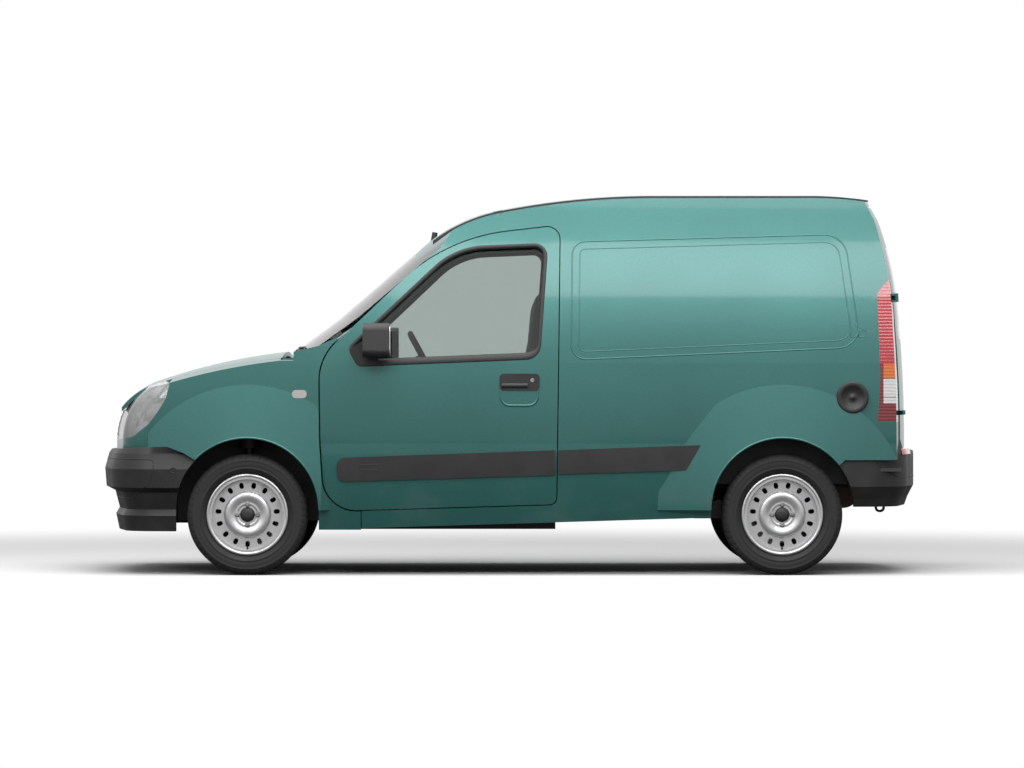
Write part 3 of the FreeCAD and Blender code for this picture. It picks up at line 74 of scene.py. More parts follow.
class Flow:
    def __init__(self, socket):
        self.socket = socket
        self.tree = socket.id_data

    def node(self, kind, settings=None, values=None, out=0):
        made = self.tree.nodes.new(kind)
        for key, value in (settings or {}).items():
            setattr(made, key, value)
        for key, value in (values or {}).items():
            if isinstance(value, Flow):
                self.tree.links.new(value.socket, made.inputs[key])
            else:
                made.inputs[key].default_value = value
        return Flow(made.outputs[out])

    def maths(self, operation, *others):
        return self.node("ShaderNodeMath", {"operation": operation}, dict(enumerate((self,) + others)))

    def __add__(self, other):
        return self.maths("ADD", other)

    def __mul__(self, other):
        return self.maths("MULTIPLY", other)

    def __sub__(self, other):
        return self.maths("SUBTRACT", other)

    def __rsub__(self, other):
        return (self * -1) + other

    def __gt__(self, other):
        return self.maths("GREATER_THAN", other)

    def part(self, axis):
        return self.node("ShaderNodeSeparateXYZ", {}, {0: self}, axis)

    def between(self, low, high):
        # 0 under low, 1 over high and smooth between
        settings = {"interpolation_type": "SMOOTHSTEP"}
        return self.node("ShaderNodeMapRange", settings, {0: self, 1: low, 2: high})

    def noise(self, scale, detail=2.0, rough=0.5):
        values = {"Vector": self, "Scale": scale, "Detail": detail, "Roughness": rough}
        return self.node("ShaderNodeTexNoise", {}, values)

    def cells(self, scale):
        return self.node("ShaderNodeTexVoronoi", {"feature": "F1"}, {"Vector": self, "Scale": scale}, "Color")

    def mix(self, low, high):
        # the two colours, shared by this value
        values = {0: self, 6: asColour(low), 7: asColour(high)}
        return self.node("ShaderNodeMix", {"data_type": "RGBA"}, values, 2)

    def bump(self, distance, strength=1.0):
        values = {"Height": self, "Distance": distance, "Strength": strength}
        return self.node("ShaderNodeBump", {}, values, "Normal")


def asColour(value):
    return value if isinstance(value, Flow) else (*value, 1)


def newMaterial(name):
    material = bpy.data.materials.new(name)
    material.use_nodes = True
    material.node_tree.nodes.clear()
    place = material.node_tree.nodes.new("ShaderNodeTexCoord").outputs["Object"]
    return material, Flow(place)


def finishMaterial(material, shader):
    output = material.node_tree.nodes.new("ShaderNodeOutputMaterial")
    material.node_tree.links.new(shader.socket, output.inputs["Surface"])
    return material


def shaded(name, make):
    # make takes the Object coordinates and returns the Principled shader's socket values
    material, place = newMaterial(name)
    return finishMaterial(material, place.node("ShaderNodeBsdfPrincipled", {}, make(place)))


paint = {
    "deep": (0.016, 0.098, 0.090),
    "lit": (0.030, 0.150, 0.138),
    "metallic": 0.42,
    "roughness": 0.31,
    "coat": 0.35,
    "dustHeight": 0.62,
    "dust": (0.10, 0.12, 0.11),
}


def makePaint():
    def values(place):
        flake = place.cells(900.0).part(0)
        drift = place.noise(1.3, 3.0)
        colour = (flake * 0.55 + drift * 0.45).between(0.15, 0.85).mix(paint["deep"], paint["lit"])
        low = 1 - place.part(2).between(0.18, paint["dustHeight"])
        dusty = low * place.noise(7.0, 5.0, 0.6).between(0.42, 0.8) * 0.35
        return {
            "Base Color": dusty.mix(colour, paint["dust"]),
            "Metallic": paint["metallic"] - dusty * paint["metallic"],
            "Roughness": place.noise(3.0, 2.0) * 0.06 + dusty * 0.3 + (paint["roughness"] - 0.03),
            "Coat Weight": paint["coat"] - dusty * paint["coat"],
            "Coat Roughness": 0.06,
            "Normal": place.noise(420.0, 1.0).bump(0.00002),
        }
    return shaded("tealPaint", values)


plastic = {"dark": (0.009, 0.009, 0.009), "worn": (0.020, 0.020, 0.0195), "roughness": 0.5}


def makePlastic():
    def values(place):
        grain = place.noise(1500.0, 2.0)
        fade = place.noise(9.0, 4.0).between(0.35, 0.75)
        return {
            "Base Color": (fade * 0.6).mix(plastic["dark"], plastic["worn"]),
            "Roughness": grain * 0.12 + fade * 0.1 + plastic["roughness"] - 0.08,
            "Normal": grain.bump(0.0003, 0.6),
        }
    return shaded("grainedPlastic", values)


def makeRubber():
    def values(place):
        fade = place.noise(30.0, 4.0)
        return {
            "Base Color": fade.between(0.3, 0.8).mix((0.006, 0.006, 0.006), (0.017, 0.017, 0.016)),
            "Roughness": fade * 0.2 + 0.45,
            "Normal": place.noise(900.0).bump(0.0002, 0.5),
        }
    return shaded("sealRubber", values)


tyreLook = {"clean": (0.008, 0.008, 0.008), "dusty": (0.024, 0.023, 0.021)}


def makeTyreRubber():
    def values(place):
        dust = place.noise(14.0, 6.0, 0.65).between(0.4, 0.85)
        fine = place.noise(700.0, 2.0)
        return {
            "Base Color": (dust * 0.6).mix(tyreLook["clean"], tyreLook["dusty"]),
            "Roughness": dust * 0.15 + fine * 0.08 + 0.62,
            "Normal": fine.bump(0.0003, 0.6),
        }
    return shaded("tyreRubber", values)


wheelPaint = {
    "dim": (0.46, 0.465, 0.47),
    "bright": (0.62, 0.62, 0.625),
    "grime": (0.17, 0.16, 0.145),
}


def makeWheelSilver():
    def values(place):
        grime = place.noise(22.0, 5.0, 0.6).between(0.45, 0.85)
        silver = place.cells(1400.0).part(0).mix(wheelPaint["dim"], wheelPaint["bright"])
        return {
            "Base Color": (grime * 0.5).mix(silver, wheelPaint["grime"]),
            "Metallic": 0.75 - grime * 0.3,
            "Roughness": grime * 0.2 + 0.34,
            "Coat Weight": 0.25 - grime * 0.2,
        }
    return shaded("wheelSilver", values)


def makeMetal(name, colour, stain, roughness, metallic=0.9, scale=18.0):
    def values(place):
        patch = place.noise(scale, 5.0, 0.62).between(0.4, 0.8)
        return {
            "Base Color": patch.mix(colour, stain),
            "Metallic": metallic - patch * (metallic * 0.6),
            "Roughness": patch * 0.25 + roughness,
            "Normal": place.noise(240.0, 3.0).bump(0.0006, 0.5),
        }
    return shaded(name, values)


def makeCloth(name, dark, light):
    def values(place):
        threadX = (place.part(0) * 1800.0).maths("SINE")
        threadZ = ((place.part(2) + place.part(1)) * 1800.0).maths("SINE")
        weave = threadX * threadZ
        fleck = place.cells(260.0).part(0).between(0.3, 0.7)
        return {
            "Base Color": (fleck * 0.6 + weave * 0.15 + 0.15).mix(dark, light),
            "Roughness": fleck * 0.1 + 0.82,
            "Sheen Weight": 0.3,
            "Normal": weave.bump(0.0004, 0.7),
        }
    return shaded(name, values)


def makeGlass(name, tint):
    # clear sheet: what passes through is only tinted, and the rest is a mirror by Fresnel's law
    material, place = newMaterial(name)
    film = place.noise(6.0, 4.0).between(0.5, 0.9)
    clear = place.node("ShaderNodeBsdfTransparent", {}, {"Color": (*tint, 1)})
    mirror = place.node("ShaderNodeBsdfGlossy", {}, {"Color": (1, 1, 1, 1), "Roughness": 0.02})
    share = place.node("ShaderNodeFresnel", {}, {"IOR": 1.45}) + film * 0.01
    return finishMaterial(material, place.node("ShaderNodeMixShader", {}, {0: share, 1: clear, 2: mirror}))


def makeLens(name, colour, clearShare, roughness=0.08):
    # moulded lamp lens: a tinted gloss shell with some of it see-through, and moulded flutes as bump
    material, place = newMaterial(name)
    across = (place.part(1) * 500.0 + place.part(0) * 500.0).maths("SINE")
    flute = (place.part(2) * 620.0).maths("SINE") * across
    cover = place.node("ShaderNodeBsdfPrincipled", {}, {
        "Base Color": (*colour, 1),
        "Roughness": roughness,
        "Coat Weight": 0.6,
        "Normal": flute.bump(0.0005, 0.3),
    })
    clear = place.node("ShaderNodeBsdfTransparent", {}, {"Color": (*colour, 1)})
    share = 1 - place.node("ShaderNodeFresnel", {}, {"IOR": 1.5})
    mixed = place.node("ShaderNodeMixShader", {}, {0: share * clearShare, 1: cover, 2: clear})
    return finishMaterial(material, mixed)


tailLamp = {
    "red": (0.42, 0.012, 0.022),
    "orange": (0.60, 0.13, 0.010),
    "clear": (0.62, 0.60, 0.60),
    "darkRed": (0.16, 0.003, 0.008),
    "edges": (0.865, 0.955, 1.030),
    "frameX": 1.818,
    "seam": 0.0018,
}


def makeTailLamp():
    def values(place):
        height = place.part(2)
        low, middle, high = tailLamp["edges"]
        outer = place.part(0) > tailLamp["frameX"]
        colour = (outer * (height > low - 0.03)).mix(tailLamp["darkRed"], tailLamp["clear"])
        colour = (outer * (height > middle)).mix(colour, tailLamp["orange"])
        colour = (height > high).mix(colour, tailLamp["red"])
        rib = (height * 400.0).maths("SINE")
        away = [(height - edge).maths("ABSOLUTE") > tailLamp["seam"] for edge in tailLamp["edges"]]
        seam = 1 - away[0] * away[1] * away[2]
        return {
            "Base Color": (seam * 0.8).mix(colour, (0.02, 0.004, 0.004)),
            "Roughness": place.noise(60.0) * 0.06 + 0.12,
            "Coat Weight": 0.8,
            "Normal": rib.bump(0.0008, 0.35),
        }
    return shaded("tailLampLens", values)


lampBowl = {
    "bright": (0.62, 0.62, 0.62),
    "dark": (0.030, 0.030, 0.032),
    "dividerX": -1.790,
    "lean": 0.42,
    "half": 0.010,
}


def makeLampBowl():
    # a plated reflector with vertical flutes, and a dark leaning divider between its two chambers
    def values(place):
        along = place.part(0) - (place.part(2) - 0.80) * lampBowl["lean"]
        divider = 1 - ((along - lampBowl["dividerX"]).maths("ABSOLUTE") > lampBowl["half"])
        low = 1 - place.part(2).between(0.70, 0.80)
        shade = (divider + low * 0.55).maths("MINIMUM", 1.0)
        flute = (place.part(1) * 260.0).maths("SINE")
        return {
            "Base Color": shade.mix(lampBowl["bright"], lampBowl["dark"]),
            "Metallic": 0.9 - shade * 0.6,
            "Roughness": place.noise(20.0) * 0.1 + 0.18,
            "Normal": flute.bump(0.0012, 0.6),
        }
    return shaded("lampBowl", values)


def useMaterial(material, *names):
    for name in names:
        for slot in nodes[name].material_slots:
            slot.material = material


def pair(name):
    return [name + "_left", name + "_right"]


finishes = {
    "paint": makePaint(),
    "plastic": makePlastic(),
    "rubber": makeRubber(),
    "tyre": makeTyreRubber(),
    "silver": makeWheelSilver(),
    "undercoat": makeMetal("undercoat", (0.030, 0.034, 0.034), (0.060, 0.055, 0.048), 0.55, 0.1, 6.0),
    "chassisBlack": makeMetal("chassisBlack", (0.014, 0.014, 0.014), (0.060, 0.040, 0.028), 0.5, 0.3),
    "cast": makeMetal("castEngine", (0.30, 0.30, 0.30), (0.10, 0.09, 0.08), 0.5),
    "exhaust": makeMetal("rustySteel", (0.16, 0.13, 0.11), (0.13, 0.055, 0.025), 0.6, 0.6, 30.0),
    "chrome": makeMetal("lampChrome", (0.82, 0.82, 0.82), (0.70, 0.70, 0.70), 0.08, 1.0, 5.0),
    "bowl": makeLampBowl(),
    "glass": makeGlass("windowGlass", (0.76, 0.795, 0.78)),
    "lens": makeLens("headlampLens", (0.86, 0.87, 0.87), 0.75),
    "repeater": makeLens("repeaterLens", (0.80, 0.80, 0.79), 0.45),
    "tailLamp": makeTailLamp(),
    "cloth": makeCloth("seatCloth", (0.020, 0.022, 0.026), (0.050, 0.053, 0.060)),
    "reflector": makeLens("redReflector", (0.55, 0.010, 0.014), 0.0, 0.12),
}
useMaterial(finishes["paint"], *pair("body_side"), *pair("front_wing"), *pair("front_door"),
            *pair("rear_door"), "roof_panel", "nose_panel", "bonnet")
useMaterial(finishes["undercoat"], "floor_pan", "scuttle", "seat_bases")
useMaterial(finishes["chassisBlack"], "front_suspension", "rear_axle", *pair("knuckle"))
useMaterial(finishes["cast"], "engine_block")
useMaterial(finishes["exhaust"], "exhaust")
useMaterial(finishes["plastic"], "grille", "front_bumper", "rear_bumper", "side_mouldings", "roof_trim",
            "wipers", "arch_liners", "dashboard", *pair("door_fittings"), "fuel_cap", "fuel_tank",
            "steering_wheel")
useMaterial(finishes["glass"], "windscreen", *pair("door_glass"), *pair("rear_glass"))
useMaterial(finishes["lens"], "headlamp_lenses")
useMaterial(finishes["bowl"], "headlamp_bowls")
useMaterial(finishes["repeater"], "side_repeaters")
useMaterial(finishes["tailLamp"], "tail_lamps")
useMaterial(finishes["cloth"], *pair("seat"))
wheelPlaces = [end + "_" + side for end in ("front", "rear") for side in ("left", "right")]
useMaterial(finishes["silver"], *["rim_" + name for name in wheelPlaces])
useMaterial(finishes["tyre"], *["tyre_" + name for name in wheelPlaces])
print("materials made:", len(finishes))


# Stage and light

stage = {
    "size": 60.0,
    "floor": 0.80,
    "floorBounce": 0.12,
    "fadeFrom": 3.2,
    "fadeTo": 7.5,
    "skyLight": 0.22,
    "lamps": [
        ("overhead", (0.0, -1.6, 6.0), (0.0, 0.0, 0.8), (7.0, 7.0), 560.0),
        ("sideBand", (0.6, -8.0, 5.0), (0.4, 0.0, 1.5), (9.0, 1.6), 330.0),
        ("frontLeft", (-6.0, -7.0, 4.5), (-0.9, 0.0, 0.9), (3.0, 3.0), 90.0),
    ],
}


def makeFloor():
    half = stage["size"] / 2
    mesh = bpy.data.meshes.new("floor")
    corners = [(-half, -half, 0), (half, -half, 0), (half, half, 0), (-half, half, 0)]
    mesh.from_pydata(corners, [], [(0, 1, 2, 3)])
    floor = bpy.data.objects.new("floor", mesh)
    bpy.context.scene.collection.objects.link(floor)
    material, place = newMaterial("paleFloor")
    far = place.node("ShaderNodeVectorMath", {"operation": "LENGTH"}, {0: place}, "Value")
    seen = place.node("ShaderNodeLightPath", {}, {}, "Is Camera Ray")
    pale = seen * (stage["floor"] - stage["floorBounce"]) + stage["floorBounce"]
    near = place.node("ShaderNodeBsdfDiffuse", {}, {"Color": pale})
    glow = place.node("ShaderNodeEmission", {}, {
        "Color": (1, 1, 1, 1), "Strength": seen * (1 - stage["floorBounce"]) + stage["floorBounce"]})
    share = far.between(stage["fadeFrom"], stage["fadeTo"])
    mixed = place.node("ShaderNodeMixShader", {}, {0: share, 1: near, 2: glow})
    mesh.materials.append(finishMaterial(material, mixed))


def makeWorld():
    world = bpy.data.worlds.new("studio")
    bpy.context.scene.world = world
    world.use_nodes = True
    tree = world.node_tree
    tree.nodes.clear()
    ray = tree.nodes.new("ShaderNodeLightPath")
    seen = Flow(ray.outputs["Is Camera Ray"]).maths("MAXIMUM", Flow(ray.outputs["Is Glossy Ray"]))
    seen = seen.maths("MAXIMUM", Flow(ray.outputs["Is Transmission Ray"]))
    strength = seen * (1 - stage["skyLight"]) + stage["skyLight"]
    sky = seen.node("ShaderNodeBackground", {}, {"Color": (1, 1, 1, 1), "Strength": strength})
    output = tree.nodes.new("ShaderNodeOutputWorld")
    tree.links.new(sky.socket, output.inputs["Surface"])


def makeLamps():
    for name, place, aim, size, power in stage["lamps"]:
        data = bpy.data.lights.new(name, "AREA")
        data.shape = "RECTANGLE"
        data.size, data.size_y = size
        data.energy = power
        lamp = bpy.data.objects.new(name, data)
        bpy.context.scene.collection.objects.link(lamp)
        lamp.location = place
        lamp.rotation_euler = (Vector(aim) - Vector(place)).to_track_quat("-Z", "Y").to_euler()


makeFloor()
makeWorld()
makeLamps()
bpy.context.scene.view_settings.view_transform = "Standard"


# Shapes as whole arrays

def gridFaces(rows, columns, closeRows=False, closeColumns=False):
    # corner numbers of every quad of a rows x columns grid, with either direction joined end to end
    rowStarts, columnStarts = np.arange(rows - (not closeRows)), np.arange(columns - (not closeColumns))
    i, j = np.meshgrid(rowStarts, columnStarts, indexing="ij")
    i, j = i.ravel(), j.ravel()
    nextI, nextJ = (i + 1) % rows, (j + 1) % columns
    here, after = i * columns, nextI * columns
    return np.stack([here + j, here + nextJ, after + nextJ, after + j], axis=1)


def makePiece(name, parts, material, body, smooth=True):
    # parts are (points, faces) arrays, which become one mesh that rides on a body
    points, faces, start = [], [], 0
    for corners, quads in parts:
        points.append(corners)
        for block in (quads if isinstance(quads, list) else [quads]):
            faces.extend((block + start).tolist())
        start += len(corners)
    mesh = bpy.data.meshes.new(name)
    mesh.from_pydata(np.concatenate(points).tolist(), [], faces)
    mesh.polygons.foreach_set("use_smooth", np.full(len(faces), smooth))
    mesh.materials.append(material)
    mesh.update()
    piece = bpy.data.objects.new(name, mesh)
    bpy.context.scene.collection.objects.link(piece)
    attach(piece, body)
    return piece


def lathe(profile, steps, centre, axis):
    # each (radius, along) of the profile is carried round the axis through centre; the ends are left open
    profile = np.asarray(profile, float)
    axis = np.asarray(axis, float) / np.linalg.norm(axis)
    side = np.cross(axis, (0.0, 0.0, 1.0)) if abs(axis[2]) < 0.9 else np.cross(axis, (1.0, 0.0, 0.0))
    side /= np.linalg.norm(side)
    up = np.cross(axis, side)
    angle = np.arange(steps) * 2 * np.pi / steps
    ring = np.cos(angle)[:, None] * side + np.sin(angle)[:, None] * up
    points = centre + profile[None, :, 0, None] * ring[:, None, :] + profile[None, :, 1, None] * axis
    count = len(profile)
    quads = gridFaces(steps, count, closeRows=True)
    return points.reshape(-1, 3), quads


def roundedOutline(corners, step):
    # (u, v, radius) corners, each turned by an arc that is tangent to its two sides; counter-clockwise
    points = []
    count = len(corners)
    for k, (u, v, radius) in enumerate(corners):
        here = np.array([u, v])
        before = np.array(corners[k - 1][:2]) - here
        after = np.array(corners[(k + 1) % count][:2]) - here
        before = before / np.linalg.norm(before)
        after = after / np.linalg.norm(after)
        half = math.acos(np.clip(before @ after, -1, 1)) / 2
        back = radius / math.tan(half)
        middle = (before + after) / np.linalg.norm(before + after)
        centre = here + middle * radius / math.sin(half)
        start = here + before * back - centre
        turn = math.pi - 2 * half
        way = np.sign(before[0] * after[1] - before[1] * after[0]) * -1
        share = np.linspace(0, 1, max(3, int(radius * turn / step) + 2))[:, None] * turn * way
        points.append(centre + np.cos(share) * start + np.sin(share) * np.array([-start[1], start[0]]))
    return np.concatenate(points)


def evenly(points, step):
    # the closed line through points, walked again at an even step
    closed = np.vstack([points, points[:1]])
    run = np.concatenate([[0], np.cumsum(np.linalg.norm(np.diff(closed, axis=0), axis=1))])
    count = max(8, int(run[-1] / step))
    at = np.arange(count) * run[-1] / count
    return np.stack([np.interp(at, run, closed[:, k]) for k in range(closed.shape[1])], axis=1)


def inwardNormals(points):
    # unit normals to the left of a counter-clockwise closed line, which point into it
    way = np.roll(points, -1, axis=0) - np.roll(points, 1, axis=0)
    way /= np.linalg.norm(way, axis=1, keepdims=True)
    return np.stack([-way[:, 1], way[:, 0]], axis=1)


# The van's left skin, as its source draws it: three arcs over the height, swept on a wide plan curve

shell = {
    "frontX": -1.2725,
    "wheelbase": 2.600,
    "half": 0.814,
    "sillIn": 0.030,
    "waistIn": 0.014,
    "topIn": 0.198,
    "belly": 0.028,
    "sillZ": 0.229,
    "swageZ": 0.640,
    "waistZ": 1.030,
    "topZ": 1.900,
    "planR": 60.0,
    "wingPlanR": 2.6,
}


def arcAcross(z, a, m, b):
    # where the circle through three (y, z) points lies at height z
    (ay, az), (my, mz), (by, bz) = a, m, b
    d = 2 * (ay * (mz - bz) + my * (bz - az) + by * (az - mz))
    sa, sm, sb = ay * ay + az * az, my * my + mz * mz, by * by + bz * bz
    cy = (sa * (mz - bz) + sm * (bz - az) + sb * (az - mz)) / d
    cz = (sa * (by - my) + sm * (ay - by) + sb * (my - ay)) / d
    radius = math.dist((ay, az), (cy, cz))
    return cy - math.copysign(1, cy - my) * np.sqrt(np.maximum(radius ** 2 - (z - cz) ** 2, 0))


def skinY(x, z):
    # y of the left skin: the section's arc at z, moved in by the plan curve's rise at x
    x, z = np.asarray(x, float), np.asarray(z, float)
    h = shell["half"]
    sill = (-h + shell["sillIn"], shell["sillZ"] - 0.03)
    waist = (-h + shell["waistIn"], shell["waistZ"])
    low = arcAcross(z, sill, (-h + 0.006, 0.41), (-h, shell["swageZ"]))
    middle = arcAcross(z, (-h, shell["swageZ"]), (-h + 0.002, 0.83), waist)
    mean = -h + (shell["waistIn"] + shell["topIn"]) / 2 - shell["belly"]
    shoulder = (mean, (shell["waistZ"] + shell["topZ"]) / 2)
    high = arcAcross(z, waist, shoulder, (-h + shell["topIn"], shell["topZ"]))
    y = np.where(z <= shell["swageZ"], low, np.where(z <= shell["waistZ"], middle, high))
    middleX = shell["frontX"] + shell["wheelbase"] / 2
    wingX = shell["frontX"] + 0.02
    reach = wingX - middleX
    ahead = wingX - x
    bend = (reach ** 2 / (2 * shell["planR"]) - reach / shell["planR"] * ahead
            + ahead ** 2 / (2 * shell["wingPlanR"]))
    return y + np.where(x >= wingX, (x - middleX) ** 2 / (2 * shell["planR"]), bend)


# Tyres

tyre = {
    "radius": 0.294,
    "treadHalf": 0.060,
    "grooves": (-0.040, -0.014, 0.014, 0.040),
    "grooveHalf": 0.0035,
    "depth": 0.007,
    "crownDrop": 0.0022,
    "slotShare": 0.12,
    "slotSkew": 9.0,
    "slotFrom": 0.017,
    "slotDepth": 0.0055,
    "shoulderR": 0.268,
    "shoulderDepth": 0.0035,
    "pitches": 54,
    "around": 540,
}


def makeTyre(name):
    # radius and width over the loop from bead to bead, less the grooves and the pitches' slots on the tread
    low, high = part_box("tyre_" + name)
    centre = (np.array(low) + np.array(high)) / 2
    outward = -1.0 if name.endswith("left") else 1.0
    sideR = np.array([0.1784, 0.190, 0.2005, 0.2045, 0.212, 0.222, 0.2235, 0.226, 0.2275, 0.237, 0.250,
                      0.262, 0.2635, 0.2655, 0.272, 0.279, 0.2855, 0.2905])
    sideY = np.array([0.058, 0.0595, 0.0605, 0.0665, 0.0745, 0.0790, 0.0804, 0.0806, 0.0796, 0.0820, 0.0825,
                      0.0805, 0.0812, 0.0806, 0.0775, 0.0735, 0.0680, 0.0630])
    treadY = np.array([0.060, 0.0520, 0.0437, 0.0435, 0.0365, 0.0363, 0.0270, 0.0177, 0.0175, 0.0105,
                       0.0103, 0.0])
    treadY = np.concatenate([treadY, -treadY[:-1][::-1]])
    crown = tyre["radius"] - tyre["crownDrop"] * (treadY / tyre["treadHalf"]) ** 2
    radius = np.concatenate([sideR, crown, sideR[::-1]])
    across = np.concatenate([sideY, treadY, -sideY[::-1]])
    isTread = np.concatenate([np.zeros(len(sideR)), np.ones(len(treadY)), np.zeros(len(sideR))])
    near = np.min(np.abs(across[:, None] - np.array(tyre["grooves"])), axis=1)
    groove = isTread * (near < tyre["grooveHalf"] + 0.0001)
    angle = np.arange(tyre["around"]) * 2 * np.pi / tyre["around"]
    skew = np.abs(across) * tyre["slotSkew"] * np.sign(across + 1e-9)
    phase = (tyre["pitches"] * angle[:, None] / (2 * np.pi) + skew) % 1.0
    inSlot = phase < tyre["slotShare"]
    slot = isTread * inSlot * (np.abs(across) > tyre["slotFrom"]) * (1 - groove)
    shoulder = (radius > tyre["shoulderR"]) * (1 - isTread) * inSlot
    depth = tyre["depth"] * groove + tyre["slotDepth"] * slot + tyre["shoulderDepth"] * shoulder
    r = radius[None, :] - depth
    points = np.stack([centre[0] + r * np.cos(angle)[:, None],
                       np.broadcast_to(centre[1] - outward * across, r.shape),
                       centre[2] + r * np.sin(angle)[:, None]], axis=2)
    quads = gridFaces(len(angle), len(radius), True, True)
    if outward > 0:
        quads = quads[:, ::-1]
    parts = [(points.reshape(-1, 3), quads)]
    piece = makePiece("treadTyre_" + name, parts, finishes["tyre"], "wheel_" + name)
    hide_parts("tyre_" + name)


# Centre cap, wheel bolts and valve

wheelBits = {
    "trackHalf": 0.703,
    "faceY": 0.046,
    "boltCircle": 0.050,
    "bolts": 4,
    "valveR": 0.166,
    "valveY": 0.030,
    "valveLean": 0.25,
    "cap": [(0.0, 0.017), (0.012, 0.0168), (0.024, 0.0150), (0.031, 0.011), (0.035, 0.004), (0.036, 0.0)],
    "boltHead": [(0, 0.012), (0.0075, 0.012), (0.0095, 0.0105), (0.0098, 0.003)],
    "boltSeat": [(0.0098, 0.003), (0.0135, 0.0025), (0.0145, 0.0)],
    "valve": [(0, 0.030), (0.0035, 0.030), (0.0040, 0.028), (0.0040, 0.018), (0.0050, 0.014), (0.0055, 0.0)],
}


def makeWheelBits(name):
    # each is a profile carried round an axis that points out of the wheel; a bolt's head has six sides
    low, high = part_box("rim_" + name)
    centre = (np.array(low) + np.array(high)) / 2
    side = -1.0 if name.endswith("left") else 1.0
    middle = np.array([centre[0], side * wheelBits["trackHalf"], centre[2]])
    out = np.array([0, side, 0])
    face = middle + out * wheelBits["faceY"]
    cap = lathe(wheelBits["cap"], 48, face, out)
    bolts = []
    for k in range(wheelBits["bolts"]):
        turn = 2 * math.pi * k / wheelBits["bolts"]
        at = face + wheelBits["boltCircle"] * np.array([math.cos(turn), 0, math.sin(turn)])
        bolts.append(lathe(wheelBits["boltHead"], 6, at, out))
        bolts.append(lathe(wheelBits["boltSeat"], 24, at, out))
    foot = middle + out * wheelBits["valveY"] + np.array([0, 0, -wheelBits["valveR"]])
    valve = lathe(wheelBits["valve"], 16, foot, out + np.array([0, 0, wheelBits["valveLean"]]))
    body = "wheel_" + name
    makePiece("centreCap_" + name, [cap], finishes["plastic"], body)
    makePiece("wheelBolts_" + name, bolts, finishes["cast"], body, smooth=False)
    makePiece("valve_" + name, [valve], finishes["rubber"], body)


dish = {
    "profile": [(0.046, 0.000), (0.050, 0.0022), (0.056, 0.0025), (0.061, 0.0012), (0.068, 0.0035),
                (0.078, 0.0072), (0.088, 0.0090), (0.096, 0.0086), (0.104, 0.0060), (0.110, 0.0015),
                (0.1125, -0.006), (0.1125, -0.0095)],
    "lipProfile": [(0.1815, 0.0640), (0.184, 0.0672), (0.190, 0.0690), (0.196, 0.0682), (0.1985, 0.0650),
                   (0.197, 0.0620)],
    "steps": 160,
}


def makeDish(name):
    # the raised ring round the hub and the rounded rim edge, both profiles carried round the wheel
    low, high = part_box("rim_" + name)
    side = -1.0 if name.endswith("left") else 1.0
    out = np.array([0, side, 0])
    middle = np.array([(low[0] + high[0]) / 2, side * wheelBits["trackHalf"], (low[2] + high[2]) / 2])
    ring = lathe(dish["profile"], dish["steps"], middle + out * wheelBits["faceY"], out)
    edge = lathe(dish["lipProfile"], dish["steps"], middle, out)
    makePiece("wheelDish_" + name, [ring, edge], finishes["silver"], "wheel_" + name)


for wheel in wheelPlaces:
    makeTyre(wheel)
    makeWheelBits(wheel)
    makeDish(wheel)
print("wheels dressed")


# Paths laid on the solids, and a bead along one

def laidOn(name, points, way):
    # each point of a path moves along way until it meets the node's surface; the normals come too
    surface = BVHTree.FromObject(nodes[name], bpy.context.evaluated_depsgraph_get())
    hits = [surface.ray_cast(Vector(p), Vector(way)) for p in points]
    found = [(hit[0], hit[1]) for hit in hits if hit[0] is not None]
    return np.array([tuple(f[0]) for f in found]), np.array([tuple(f[1]) for f in found])


def layOnSide(name, line, fromY=-1.1):
    # (x, z) points set off to the left of the van, which then move in to the node
    start = np.stack([line[:, 0], np.full(len(line), fromY), line[:, 1]], axis=1)
    return laidOn(name, start, (0, 1, 0))


def beadAlong(path, normals, width, height, closed=False, sides=9):
    # a half-round bead: across the path it is width wide, and it rises by height along the surface's normal
    if closed:
        way = np.roll(path, -1, axis=0) - np.roll(path, 1, axis=0)
    else:
        way = np.gradient(path, axis=0)
    way /= np.linalg.norm(way, axis=1, keepdims=True)
    across = np.cross(normals, way)
    across /= np.linalg.norm(across, axis=1, keepdims=True)
    turn = np.linspace(0, math.pi, sides)
    over = np.cos(turn)[None, :, None] * across[:, None, :] * width / 2
    rise = np.sin(turn)[None, :, None] * normals[:, None, :] * height
    sunk = normals[:, None, :] * height * 0.15
    points = path[:, None, :] + over + rise - sunk
    return points.reshape(-1, 3), gridFaces(len(path), sides, closeRows=closed)


def bent(corners, step=0.008, closed=False):
    # a path through rounded (x, z) corners, at an even step
    if closed:
        return evenly(roundedOutline(corners, step), step)
    line = [np.array(corners[0][:2])]
    for before, here, after in zip(corners[:-2], corners[1:-1], corners[2:]):
        line.append(arcCorner(before, here, after, step))
    line.append(np.array(corners[-1][:2]))
    points = np.vstack(line)
    run = np.concatenate([[0], np.cumsum(np.linalg.norm(np.diff(points, axis=0), axis=1))])
    at = np.linspace(0, run[-1], max(4, int(run[-1] / step)))
    return np.stack([np.interp(at, run, points[:, k]) for k in range(2)], axis=1)


def arcCorner(before, here, after, step):
    # the arc of here's radius that is tangent to both sides
    p, q = np.array(here[:2]), here[2]
    u = np.array(before[:2]) - p
    v = np.array(after[:2]) - p
    u, v = u / np.linalg.norm(u), v / np.linalg.norm(v)
    half = math.acos(np.clip(u @ v, -1, 1)) / 2
    middle = (u + v) / np.linalg.norm(u + v)
    centre = p + middle * q / math.sin(half)
    start, end = p + u * q / math.tan(half) - centre, p + v * q / math.tan(half) - centre
    share = np.linspace(0, 1, max(3, int(q * (math.pi - 2 * half) / step) + 2))[:, None]
    blendLine = start * (1 - share) + end * share
    return centre + blendLine / np.linalg.norm(blendLine, axis=1, keepdims=True) * q


